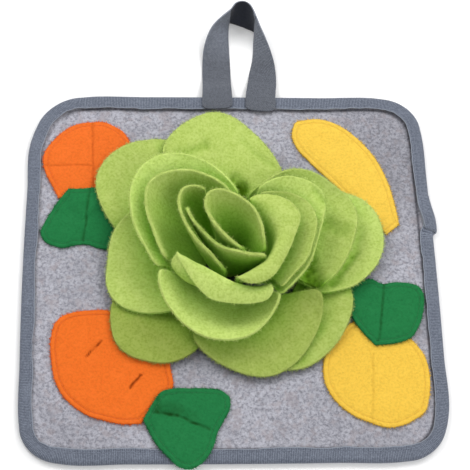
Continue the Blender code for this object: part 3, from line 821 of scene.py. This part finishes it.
def finish_cloth(tree, shader, colour, painted_shade_multiplier, tone=(1.0, 1.0, 1.0), relief=None, depth=0.0, strength=0.6):
    """Paint shade on a cloth in its folds and seams and behind other cloth, paint light and shade on it by
    its marked tone, and give it relief.
    """
    shelter, deeper = (
        add_node(tree, "ShaderNodeAttribute", attribute_name=name).outputs["Fac"]
        for name in ("shelter", "deeper")
    )
    tinted = add_node(
        tree, "ShaderNodeMix", {0: shelter, 6: colour, 7: painted_shade_multiplier}, data_type="RGBA", clamp_factor=True,
        blend_type="MULTIPLY",
    )
    loss = add_node(tree, "ShaderNodeVectorMath", {0: tone, "Scale": deeper}, operation="SCALE")
    kept = add_node(tree, "ShaderNodeVectorMath", {0: (1.0, 1.0, 1.0), 1: loss}, operation="SUBTRACT")
    toned = add_node(tree, "ShaderNodeVectorMath", {0: tinted, 1: kept}, operation="MULTIPLY")
    tree.links.new(toned.outputs[0], shader.inputs["Base Color"])
    if relief:
        raised = add_node(tree, "ShaderNodeBump", {"Height": relief, "Distance": depth, "Strength": strength})
        tree.links.new(raised.outputs[0], shader.inputs["Normal"])


def fleece_material(name, light, middle, shade, painted_shade_multiplier, radial=False):
    """Brushed polyester fleece, knitted and raised: matt, with a soft sheen and a fine mottled nap."""
    material, tree, shader = new_material(name, {
        "Roughness": 0.95, "Specular IOR Level": 0.12, "Sheen Weight": 0.25, "Sheen Roughness": 0.5,
        "Sheen Tint": middle,
    })
    place = add_node(tree, "ShaderNodeTexCoord").outputs["Object"]
    tufts, clumps = (
        add_node(tree, "ShaderNodeTexNoise", {
            "Vector": place, "Scale": 1.0 / size, "Detail": detail, "Roughness": rough,
        })
        for size, detail, rough in ((2.0 * MM, 4.0, 0.7), (8.0 * MM, 2.0, 0.55))
    )
    colour = layered(tree, shade, middle, tufts, 0.36, 0.58)
    colour = layered(tree, colour, light, clumps, 0.45, 0.75, 0.4)
    relief = tufts
    if radial:  # streaks of nap that run out from the rose's axis
        centred = add_node(tree, "ShaderNodeVectorMath", {0: place, 1: -ROSE_AXIS}, operation="ADD")
        level = add_node(tree, "ShaderNodeVectorMath", {0: centred, 1: (1.0, 1.0, 0.0)}, operation="MULTIPLY")
        heading = add_node(tree, "ShaderNodeVectorMath", {0: level}, operation="NORMALIZE")
        wide = add_node(tree, "ShaderNodeVectorMath", {0: heading, "Scale": 60.0 * MM}, operation="SCALE")
        along = add_node(
            tree, "ShaderNodeVectorMath", {0: centred, 1: (0.12,) * 3, 2: wide}, operation="MULTIPLY_ADD",
        )
        streaks = add_node(tree, "ShaderNodeTexNoise", {
            "Vector": along, "Scale": 1.0 / (1.6 * MM), "Detail": 2.0, "Roughness": 0.55,
        })
        colour = layered(tree, colour, light, streaks, 0.5, 0.8, 0.45)
        relief = add_node(tree, "ShaderNodeMath", {0: streaks, 1: 0.35, 2: tufts}, operation="MULTIPLY_ADD")
    # Painted highlight: the cut edges lighter, as where they catch the light
    rim = add_node(tree, "ShaderNodeAttribute", attribute_name="rim").outputs["Fac"]
    colour = layered(tree, colour, light, rim, 0.8, 1.0, 0.35)
    finish_cloth(tree, shader, colour, painted_shade_multiplier, FLEECE_PAINTED_SHADE_LOSS, relief, 1.0 * MM)
    return material


def nap_material(name, colour, painted_shade_multiplier):
    """Loose ends of fleece nap: thin, matt and with the same painted shade in the folds as the cloth they
    stand on.
    """
    material, tree, shader = new_material(name, {
        "Roughness": 0.9, "Specular IOR Level": 0.12, "Sheen Weight": 0.2, "Sheen Tint": colour,
    })
    finish_cloth(tree, shader, colour, painted_shade_multiplier, FLEECE_PAINTED_SHADE_LOSS)
    return material


def felt_material(name, settings):
    """Needled melange felt: grey wool mixed with dark and light fibres, dry and matt."""
    material, tree, shader = new_material(name, {
        "Roughness": 1.0, "Specular IOR Level": 0.1, "Sheen Weight": 0.15, "Sheen Tint": settings.light,
    })
    place = add_node(tree, "ShaderNodeTexCoord").outputs["Object"]
    swirl = add_node(tree, "ShaderNodeTexNoise", {"Vector": place, "Scale": 1.0 / (4.0 * MM), "Detail": 1.0})
    pull = add_node(
        tree, "ShaderNodeVectorMath", {0: swirl.outputs["Color"], 1: (0.5, 0.5, 0.5)}, operation="SUBTRACT",
    )
    bent = add_node(
        tree, "ShaderNodeVectorMath", {0: pull, 1: (1.2 * MM,) * 3, 2: place}, operation="MULTIPLY_ADD",
    )
    flecks, wools, clouds = (
        add_node(tree, "ShaderNodeTexNoise", {
            "Vector": where, "Scale": 1.0 / size, "Detail": detail, "Roughness": rough,
        })
        for where, size, detail, rough in (
            (bent, settings.fleck, 5.0, 0.8),
            (bent, 2.6 * settings.fleck, 1.0, 0.55),
            (place, 13.0 * MM, 2.0, 0.55),
        )
    )
    colour = layered(tree, settings.dark, settings.light, flecks, 0.34, 0.62)
    colour = layered(tree, colour, settings.warm, wools, 0.5, 0.7, 0.45)
    colour = layered(tree, colour, settings.dark, clouds, 0.42, 0.7, 0.25)
    finish_cloth(tree, shader, colour, settings.painted_shade_tint, relief=flecks, depth=0.6 * MM)
    return material


def ribbed_material(name, settings, roughness, twill, selvedge, painted_shade_multiplier):
    """Woven polyester tape: fine ribs with a slight gloss, from its weave's own map in metres."""
    material, tree, shader = new_material(name, {
        "Roughness": roughness, "Specular IOR Level": 0.3, "Sheen Weight": 0.12,
    })
    weave = add_node(tree, "ShaderNodeUVMap", uv_map="weave")
    split = add_node(tree, "ShaderNodeSeparateXYZ", {0: weave})
    slope = add_node(
        tree, "ShaderNodeMath", {0: split.outputs["Y"], 1: twill, 2: split.outputs["X"]},
        operation="MULTIPLY_ADD",
    )
    turns = add_node(tree, "ShaderNodeMath", {0: slope, 1: 2 * math.pi / settings.rib}, operation="MULTIPLY")
    wave = add_node(tree, "ShaderNodeMath", {0: turns}, operation="SINE")
    rib = add_node(
        tree, "ShaderNodeMapRange", {"Value": wave, "From Min": -0.9, "From Max": 0.6},
        interpolation_type="SMOOTHSTEP",
    )
    place = add_node(tree, "ShaderNodeTexCoord").outputs["Object"]
    slubs, wear, flecks = (
        add_node(tree, "ShaderNodeTexNoise", {
            "Vector": place, "Scale": 1.0 / size, "Detail": detail, "Roughness": rough,
        })
        for size, detail, rough in ((2.2 * MM, 4.0, 0.75), (18.0 * MM, 2.0, 0.55), (1.4 * MM, 2.0, 0.8))
    )
    mixed = add_node(tree, "ShaderNodeMath", {0: rib, 1: 0.55, 2: slubs}, operation="MULTIPLY_ADD")
    colour = layered(tree, settings.dark, settings.light, mixed, 0.55, 1.05)
    colour = layered(tree, colour, settings.light, wear, 0.5, 0.72, 0.4)
    colour = layered(tree, colour, (0.7, 0.7, 0.72), flecks, 0.42, 0.58, mode="MULTIPLY")
    colour = layered(tree, colour, selvedge, split.outputs["Y"], 1.0 * MM, 0.3 * MM)
    finish_cloth(tree, shader, colour, painted_shade_multiplier, relief=mixed, depth=0.25 * MM, strength=0.7)
    return material


def thread_material(name, colour):
    """Spun polyester sewing thread: a little glossier than the cloth round it."""
    return new_material(name, {"Base Color": colour, "Roughness": 0.6, "Specular IOR Level": 0.35})[0]


# Pieces


def dress(piece, material, slot, *nodes):
    """Give a finished piece its material and its body, and hide the nodes that it stands for; the slot is not
    used.
    """
    piece.data.materials.clear()
    piece.data.materials.append(material)
    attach(piece, BODY)
    if nodes:
        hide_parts(*nodes)
    return piece


class SNUFFLE_OT_felt(bpy.types.Operator):
    """Make the needled felt square with its loose fibres"""

    bl_idname = "snuffle.felt"
    bl_label = "Felt Base"

    def execute(self, context):
        settings = context.scene.snuffle_felt
        ring = smooth_ring(outline_of("felt_base"), settings.ring_step)
        steps = round(HALF_SIDE / settings.ring_step)

        def height(x, y, _):
            swell = noise.noise(Vector((x, y, 0.0)) / 0.03)
            dimple = noise.noise(Vector((x, y, 1.0)) / 0.007)
            return (0.14 * swell + 0.08 * dimple) * MM

        insets = [inset * MM for inset in (0.0, 4.0, 6.0, 7.0, 8.0, 9.0, 10.0, 11.5, 14.0, 18.0)]
        felt = flat_cloth("felt_square", "felt_base", ring, insets, steps, FELT_THICK, height)
        # Painted shade on the felt where the petals hide the light
        shelter = shelters(felt.data.vertices, gathered_tree(PETAL_CUTS))
        # Painted shade toward the felt's corners
        painted_shading_values = [self.tone(1000 * vertex.co.x, 1000 * vertex.co.y) for vertex in felt.data.vertices]
        # Painted shadow line on the felt beside the tape's edge
        for index, vertex in enumerate(felt.data.vertices[:len(ring) * len(insets)]):
            past = insets[index // len(ring)] - tape_width(vertex.co.x, vertex.co.y) + TAPE_OVERHANG
            dark = GAP_PAINTED_SHADOW * max(rising(vertex.co.x, *GAP_FADES), GAP_LEAST)
            shelter[index] = max(shelter[index], dark * fading(past, GAP_WIDTH))
        mark(felt.data, "shelter", shelter)
        mark(felt.data, "deeper", painted_shading_values)
        dress(felt, felt_material("Needled felt", settings), "grey_felt", "felt_base")
        strands = thread_material("Loose wool", settings.fibre)
        fibres = grown("felt_fibres", felt.data, fibre_tree(), {
            "Density": settings.fibre_density, "Length": settings.fibre_length, "Width": 0.06 * MM, "Seed": 3,
            "Material": strands,
        })
        dress(fibres, strands, "grey_felt")
        return {"FINISHED"}

    @staticmethod
    def tone(x, y):
        """How much shade is painted on the felt at a place in mm."""
        return max(
            tone * fading(math.hypot(x - middle_x, y - middle_y), reach)
            for middle_x, middle_y, reach, tone in FELT_PAINTED_SHADES
        )


def tape_width(x, y):
    """The tape's width at a place on the outline, which differs from side to side."""
    weights = {"right": max(x, 0.0), "left": max(-x, 0.0), "back": max(y, 0.0), "front": max(-y, 0.0)}
    total = sum(weight**6 for weight in weights.values())
    return sum(TAPE_WIDTHS_MM[side] * weight**6 for side, weight in weights.items()) / total * MM


def tape_section(width, wave, curl, stitch_inset, lift):
    """The tape's cross-section in metres, inset and height, from its inner edge over the top and under."""
    edge = width + wave
    over = (
        (edge, 5.6 + curl), (edge - 0.6, 5.7 + curl), (width - stitch_inset, 5.0), (width - 3.4, 5.35),
        (0.6 * width, 5.5), (0.48 * width, 5.25), (0.36 * width, 5.5), (2.4, 5.45), (1.0, 4.9), (0.2, 3.9),
        (0.0, 2.9), (0.3, 1.5), (1.2, 0.45), (2.4, 0.05), (width, 0.0),
    )
    under = (
        (width, 0.85), (3.2, 0.9), (2.1, 1.3), (1.3, 2.1), (1.0, 3.0), (1.3, 3.8), (2.2, 4.4),
        (0.55 * width, 4.5), (width - stitch_inset, 4.35), (edge - 0.2, 5.05 + curl),
    )
    return [(inset * MM, (height + (lift if height > 1.0 else 0.0)) * MM) for inset, height in over + under]


class SNUFFLE_OT_binding(bpy.types.Operator):
    """Fold the binding tape round the edge, pucker it, lap its ends and stitch it"""

    bl_idname = "snuffle.binding"
    bl_label = "Edge Binding"

    def execute(self, context):
        settings = context.scene.snuffle_binding
        ring = smooth_ring(outline_of("edge_binding", 0.8 * MM), settings.station)
        normals = ring_normals(ring)
        sections, along = [], [0.0]
        for index, place in enumerate(ring):
            along.append(along[-1] + (ring[(index + 1) % len(ring)] - place).length)
            sections.append(self.section(place, normals[index], along[index], settings, 0.0))
        parts = [self.tube(sections, along, True)]
        lap = [
            index for index, place in enumerate(ring)
            if place.x > 0.14 and TAPE_LAP[0] <= place.y <= TAPE_LAP[1]
        ]
        lapped = []
        for number, index in enumerate(lap):
            rise = 0.9 * (1.0 - number / len(lap)) ** 0.4
            place = ring[index] + normals[index] * 0.8 * MM * fading(number, 4)
            lapped.append(self.section(place, normals[index], along[index], settings, rise))
        parts.append(self.tube(lapped, [along[index] for index in lap], False))
        tape = piece_from("binding_tape", self.joined(parts))
        material = ribbed_material("Woven binding tape", settings, 0.8, 0.0, settings.selvedge, settings.dark)
        dress(tape, material, "binding_tape", "edge_binding")
        thread = thread_material("Grey thread", settings.light)
        places = [
            (*(place - normal * (tape_width(*place) - settings.stitch_inset)), TAPE_SEAM)
            for place, normal in zip(ring, normals)
        ]
        sizes = (settings.stitch, settings.stitch_gap, TAPE_THREAD)
        sew("binding_stitches", places, True, sizes, "binding_tape", thread)
        return {"FINISHED"}

    @staticmethod
    def section(place, normal, run, settings, lift):
        """The tape's section at a place on the outline, with its puckers."""
        width = 1000 * tape_width(*place)
        wave = 1.5 * noise.noise(Vector((run / 0.028, 0.3, 0.0)))
        wave += 0.6 * noise.noise(Vector((run / 0.007, 4.0, 0.0)))
        corner = min(abs(normal.x), abs(normal.y)) > 0.15
        curl = 0.45 + 0.9 * noise.noise(Vector((run / 0.013, 8.0, 0.0)))
        made = []
        for inset, height in tape_section(width, wave, curl, 1000 * settings.stitch_inset, lift):
            pucker = noise.noise(Vector((run / (0.005 if corner else 0.009), inset / 0.006, height / 0.004)))
            wrinkle = (0.22 if corner else 0.13) * MM * pucker if height > 1.2 * MM else 0.0
            spot = place - normal * (inset - lift * 0.6 * MM)
            made.append((spot.x, spot.y, height + wrinkle))
        return made

    @staticmethod
    def tube(sections, along, closed):
        """Points, faces and the weave's map of a tape from its sections."""
        sides = len(sections[0])
        points = [point for section in sections for point in section]
        across = [0.0]
        for first, second in zip(sections[0], sections[0][1:] + sections[0][:1]):
            across.append(across[-1] + (Vector(second) - Vector(first)).length)
        faces, maps = [], []
        last = len(sections) if closed else len(sections) - 1
        for index in range(last):
            here, after = index * sides, (index + 1) % len(sections) * sides
            start, end = along[index], along[index + 1]
            for side in range(sides):
                beside = (side + 1) % sides
                low, high = across[side], across[side + 1]
                faces.append((here + side, here + beside, after + beside, after + side))
                maps.append(((start, low), (start, high), (end, high), (end, low)))
        if not closed:
            for index, flip in ((0, True), (len(sections) - 1, False)):
                end = [index * sides + side for side in range(sides)]
                faces.append(tuple(reversed(end)) if flip else tuple(end))
                maps.append(tuple((along[index], 0.0) for _ in end))
        return points, faces, maps

    @staticmethod
    def joined(parts):
        """One mesh of several parts."""
        points, faces, maps = [], [], []
        for more_points, more_faces, more_maps in parts:
            faces += [tuple(len(points) + corner for corner in face) for face in more_faces]
            points += more_points
            maps += more_maps
        mesh = bpy.data.meshes.new("binding_tape")
        mesh.from_pydata(points, [], faces)
        layer = mesh.uv_layers.new(name="weave")
        layer.data.foreach_set("uv", [value for face in maps for place in face for value in place])
        shape = bmesh.new()
        shape.from_mesh(mesh)
        bmesh.ops.recalc_face_normals(shape, faces=shape.faces)
        shape.to_mesh(mesh)
        shape.free()
        return mesh


class SNUFFLE_OT_loop(bpy.types.Operator):
    """Make the webbing loop and sew down its ends"""

    bl_idname = "snuffle.loop"
    bl_label = "Hanging Loop"

    def execute(self, context):
        settings = context.scene.snuffle_loop
        loop = refined_sheet(
            "webbing_loop", "hanging_loop", STRAP_THICK, settings.levels, 0.9, self.mark_run, LOOP_RIDGES,
        )
        run, way = (loop.data.attributes[name].data for name in ("run", "way"))
        weave = loop.data.uv_layers.new(name="weave")
        for corner, spot in zip(loop.data.loops, weave.data):
            spot.uv = (run[corner.vertex_index].value, way[corner.vertex_index].value)
        # Painted shade inside the webbing's bend
        painted_bend_shades = [self.painted_bend_shade(vertex) for vertex in loop.data.vertices]
        mark(loop.data, "shelter", painted_bend_shades)
        # Painted light on the webbing outside its bend
        mark(loop.data, "deeper", [
            (bend - 1.0) * LOOP_PAINTED_LIGHT * rising(vertex.co.y, *LOOP_PAINTED_LIGHT_SPAN)
            for vertex, bend in zip(loop.data.vertices, painted_bend_shades)
        ])
        for vertex in loop.data.vertices:
            vertex.co.z = max(vertex.co.z - MM * rising(vertex.co.z, *LOOP_SAGS), 0.1 * MM)
        webbing = ribbed_material("Polyester webbing", settings, 0.7, 1.0, settings.light, settings.painted_shade_tint)
        dress(loop, webbing, "webbing", "hanging_loop")
        thread = thread_material("Webbing thread", settings.light)
        for number, (x1, y1, x2, y2) in enumerate(LOOP_ROWS, 1):
            start, end = Vector((x1, y1)) * MM, Vector((x2, y2)) * MM
            places = [(*start.lerp(end, step / 8), LOOP_SEAM) for step in range(9)]
            sew(f"loop_stitches_{number}", places, False, LOOP_STITCH, "webbing", thread)
        return {"FINISHED"}

    @staticmethod
    def painted_bend_shade(vertex):
        """Painted shade: 1 on the strap's inner face and lower edge between the two ridges of its bend, else
        0.
        """
        left, right = LOOP_RIDGES
        between = left.x < vertex.co.x < right.x and vertex.co.y > right.y - MM
        return 1.0 if between and (vertex.normal.y < -0.4 or vertex.co.z < 2.2 * MM) else 0.0

    @staticmethod
    def mark_run(surface):
        """Mark each point's run along the strap from its left end, and its way across from the outer edge."""
        run = surface.verts.layers.float.new("run")
        way = surface.verts.layers.float.new("way")
        column = {vertex for vertex in surface.verts if vertex.co.x < 10 * MM and vertex.co.y < 150 * MM}
        outer = {vertex for vertex in column if vertex.co.x < -20 * MM}
        travelled, before, seen = 0.0, None, set()
        while column:
            middle = sum((vertex.co for vertex in column), Vector()) / len(column)
            edge = sum((vertex.co for vertex in outer), Vector()) / len(outer)
            travelled += (middle - before).length if before else 0.0
            for vertex in column:
                vertex[run] = travelled
                vertex[way] = (vertex.co - edge).length
            seen |= column
            column = {link.other_vert(vertex) for vertex in column for link in vertex.link_edges} - seen
            outer = {link.other_vert(vertex) for vertex in outer for link in vertex.link_edges} & column
            before = middle


class SNUFFLE_OT_fruit(bpy.types.Operator):
    """Cut the fleece fruit and leaves, sew them down and brush them"""

    bl_idname = "snuffle.fruit"
    bl_label = "Fruit and Leaves"

    def execute(self, context):
        settings = context.scene.snuffle_fruit
        finishes = {
            kind: self.finish(name, getattr(settings, kind), settings.painted_seam_shade_tint)
            for kind, (name, _) in FLEECES.items()
        }
        seam = settings.seam
        insets = [share * seam for share in (0.0, 0.15, 0.4, 0.7, 1.0, 1.3, 1.7, 2.4)]
        for number, (node, (kind, cut, seams)) in enumerate(FRUIT.items()):
            ring = smooth_ring(outline_of(node), settings.spacing)

            def height(x, y, inset):
                pressed = seam_depth(seams, 1000 * x, 1000 * y) + 0.5 * fading(inset - seam, 0.35 * seam)
                swell = 0.3 * noise.noise(Vector((x, y, number)) / 0.012)
                swell += 0.12 * noise.noise(Vector((x, y, 5.0)) / 0.004)
                return (swell - pressed) * MM - edge_drop(inset)

            piece = flat_cloth(f"{node}_fleece", node, ring, insets, PATCH_RINGS, PATCH_THICK, height)
            places = [vertex.co.copy() for vertex in piece.data.vertices]
            depths = [seam_depth(seams, 1000 * place.x, 1000 * place.y) for place in places]
            # Painted shade in the deepest seams
            mark(piece.data, "deeper", [0.9 * max(0.0, depth - 0.75) for depth in depths])
            # Painted shade in the seams and along the seam by the cut edge
            dark = EDGE_SEAM_SHADES.get(node, EDGE_SEAM_SHADE)
            for index in range(len(ring) * len(insets)):
                depths[index] += dark * fading(insets[index // len(ring)] - seam, 0.35 * seam)
            mark(piece.data, "shelter", [min(1.0, depth) for depth in depths])
            cloth, nap, thread = finishes[kind]
            slot = FLEECES[kind][1]
            dress(piece, cloth, slot, node)
            brush(f"{node}_nap", piece.data, slot, nap, settings, FRUIT_NAP, number)
            first = insets.index(seam) * len(ring)
            sewn = [(*place.xy, place.z + 0.1 * MM) for place in places[first:first + len(ring)]]
            sew(f"{node}_stitches", sewn, True, FRUIT_STITCH, slot, thread)
        return {"FINISHED"}

    @staticmethod
    def finish(name, colour, painted_shade_multiplier):
        """A fleece's cloth, nap and thread."""
        pale = tuple(min(1.0, 1.06 * value + 0.005) for value in colour)
        deep = tuple(0.88 * value for value in colour)
        cloth = fleece_material(name, pale, colour, deep, painted_shade_multiplier)
        return cloth, nap_material(f"{name} nap", colour, painted_shade_multiplier), thread_material(f"{name} thread", deep)


class SNUFFLE_OT_rose(bpy.types.Operator):
    """Make the rose's petals with their ripples, folds and nap"""

    bl_idname = "snuffle.rose"
    bl_label = "Fleece Rose"

    def execute(self, context):
        settings = context.scene.snuffle_rose
        cloth = fleece_material(
            "Light green fleece", settings.light, settings.middle, settings.shade, settings.painted_shade_tint,
            radial=True,
        )
        nap = nap_material("Light green nap", settings.light, settings.painted_shade_tint)
        cover = gathered_tree(PETAL_CUTS)

        # Painted shade where other petals hide the light
        def mark_painted_shade(surface):
            shelter = surface.verts.layers.float.new("shelter")
            surface.normal_update()
            for vertex, deep in zip(surface.verts, shelters(surface.verts, cover)):
                vertex[shelter] = deep

        for number, (group, nodes) in enumerate((("heart", HEART), ("middle", MIDDLE), ("low", LOW))):
            gathered = bmesh.new()
            for node in nodes:
                name = f"{node}_fleece"
                petal = refined_sheet(name, node, PETAL_THICK, settings.levels, 0.45, mark_painted_shade)
                shut, tone = PETAL_PAINTED_SHADE_SHARES.get(node, 1.0), PETAL_PAINTED_LIGHT_AND_SHADE.get(node, 0.0)
                self.ripple(petal.data, PETAL_FOLDS.get(node, ()), settings.ripple, shut, tone)
                dress(petal, cloth, "green_fleece", node)
                gathered.from_mesh(petal.data)
            base = bpy.data.meshes.new(f"rose_{group}")
            gathered.to_mesh(base)
            gathered.free()
            brush(f"rose_{group}_nap", base, "green_fleece", nap, settings, ROSE_NAP, number)
            bpy.data.meshes.remove(base)
        return {"FINISHED"}

    @staticmethod
    def ripple(mesh, folds, height, shut, tone):
        """Ripple a petal's cloth softly and its cut edge more finely, press in its folds, and paint shade in
        them and the petal's light and shade.
        """
        painted_shading_values = []
        soft, fine = RIPPLE_WIDTHS
        rim = [item.value for item in mesh.attributes["rim"].data]
        shelter = mesh.attributes["shelter"].data
        for vertex, edge, deep in zip(mesh.vertices, rim, shelter):
            place = vertex.co.copy()
            free = rising(place.z, *RIPPLES_FREE)
            shift = noise.noise_vector(place / soft) * height * free
            finer = noise.noise_vector(place / fine + Vector((7.0, 0.0, 0.0)))
            shift += finer * 0.35 * height * free * edge
            pressed = seam_depth(folds, 1000 * place.x, 1000 * place.y) if folds else 0.0
            shift.z -= pressed * MM
            # Painted shade in the pressed folds
            deep.value = min(1.0, shut * deep.value + 0.18 * pressed)
            # Painted light and shade of the whole petal, and more painted shade in its folds
            painted_shading_values.append(min(tone + (0.06 + 0.02 * pressed) * pressed, MOST_PAINTED_SHADE))
            vertex.co = place + shift
        mark(mesh, "deeper", painted_shading_values)


class SNUFFLE_OT_stage(bpy.types.Operator):
    """Set the floor, the soft lights and the camera"""

    bl_idname = "snuffle.stage"
    bl_label = "Stage"

    def execute(self, context):
        settings = context.scene.snuffle_stage
        scene = context.scene
        scene.view_settings.view_transform = "Standard"
        half, level = FLOOR_HALF, -0.1 * MM
        corners = [(-half, -half, level), (half, -half, level), (half, half, level), (-half, half, level)]
        mesh = bpy.data.meshes.new("floor")
        mesh.from_pydata(corners, [], [(0, 1, 2, 3)])
        paper = new_material("White paper", {"Base Color": settings.floor, "Roughness": 0.9})[0]
        mesh.materials.append(paper)
        piece_from("floor", mesh)
        world = bpy.data.worlds.new("Studio")
        world.use_nodes = True
        background = world.node_tree.nodes["Background"]
        background.inputs["Color"].default_value = (1.0, 1.0, 1.0, 1.0)
        background.inputs["Strength"].default_value = settings.sky
        scene.world = world
        for side, place in LIGHTS.items():
            self.add_light(f"{side}_light", place, getattr(settings, side))
        self.add_camera(scene, settings)
        return {"FINISHED"}

    @staticmethod
    def add_light(name, place, power):
        """A square soft light that faces the mat."""
        data = bpy.data.lights.new(name, "AREA")
        data.energy = power
        data.size = LIGHT_SIZE
        light = bpy.data.objects.new(name, data)
        light.location = place
        light.rotation_euler = (-Vector(place)).to_track_quat("-Z", "Y").to_euler()
        bpy.context.scene.collection.objects.link(light)

    @staticmethod
    def add_camera(scene, settings):
        """The camera, above the mat's front edge and a little to its left."""
        elevation, azimuth, roll = settings.elevation, settings.azimuth, settings.roll
        away = Vector((math.sin(azimuth), -math.cos(azimuth), 0.0))
        back = away * math.cos(elevation) + Vector((0.0, 0.0, math.sin(elevation)))
        level = Vector((math.cos(azimuth), math.sin(azimuth), 0.0))
        upward = back.cross(level)
        right = level * math.cos(roll) + upward * math.sin(roll)
        above = upward * math.cos(roll) - level * math.sin(roll)
        data = bpy.data.cameras.new("camera")
        data.lens = settings.lens
        data.sensor_width = 36.0
        data.clip_start = 0.01
        camera = bpy.data.objects.new("camera", data)
        turned = Matrix((right, above, back)).transposed().to_4x4()
        camera.matrix_world = Matrix.Translation(LOOKS_AT + back * settings.distance) @ turned
        scene.collection.objects.link(camera)
        scene.camera = camera


class SNUFFLE_PT_panel(bpy.types.Panel):
    """The snuffle mat's sizes, colours and steps"""

    bl_idname = "SNUFFLE_PT_panel"
    bl_label = "Snuffle Mat"
    bl_space_type = "VIEW_3D"
    bl_region_type = "UI"
    bl_category = "Snuffle Mat"

    def draw(self, context):
        for operator, pointer, group in STEPS:
            box = self.layout.box()
            box.operator(operator.bl_idname)
            for name in group.__annotations__:
                box.prop(getattr(context.scene, pointer), name)


STEPS = (
    (SNUFFLE_OT_felt, "snuffle_felt", FeltSettings),
    (SNUFFLE_OT_binding, "snuffle_binding", BindingSettings),
    (SNUFFLE_OT_loop, "snuffle_loop", LoopSettings),
    (SNUFFLE_OT_fruit, "snuffle_fruit", FruitSettings),
    (SNUFFLE_OT_rose, "snuffle_rose", RoseSettings),
    (SNUFFLE_OT_stage, "snuffle_stage", StageSettings),
)


def register():
    """Add the settings, the operators and the panel."""
    for operator, pointer, group in STEPS:
        bpy.utils.register_class(group)
        bpy.utils.register_class(operator)
        setattr(bpy.types.Scene, pointer, bpy.props.PointerProperty(type=group))
    bpy.utils.register_class(SNUFFLE_PT_panel)


def unregister():
    """Take the settings, the operators and the panel away."""
    bpy.utils.unregister_class(SNUFFLE_PT_panel)
    for operator, pointer, group in reversed(STEPS):
        delattr(bpy.types.Scene, pointer)
        bpy.utils.unregister_class(operator)
        bpy.utils.unregister_class(group)


def main():
    """Make every piece in order."""
    register()
    bpy.ops.snuffle.felt()
    bpy.ops.snuffle.binding()
    bpy.ops.snuffle.loop()
    bpy.ops.snuffle.fruit()
    bpy.ops.snuffle.rose()
    bpy.ops.snuffle.stage()


if __name__ == "__main__":
    main()
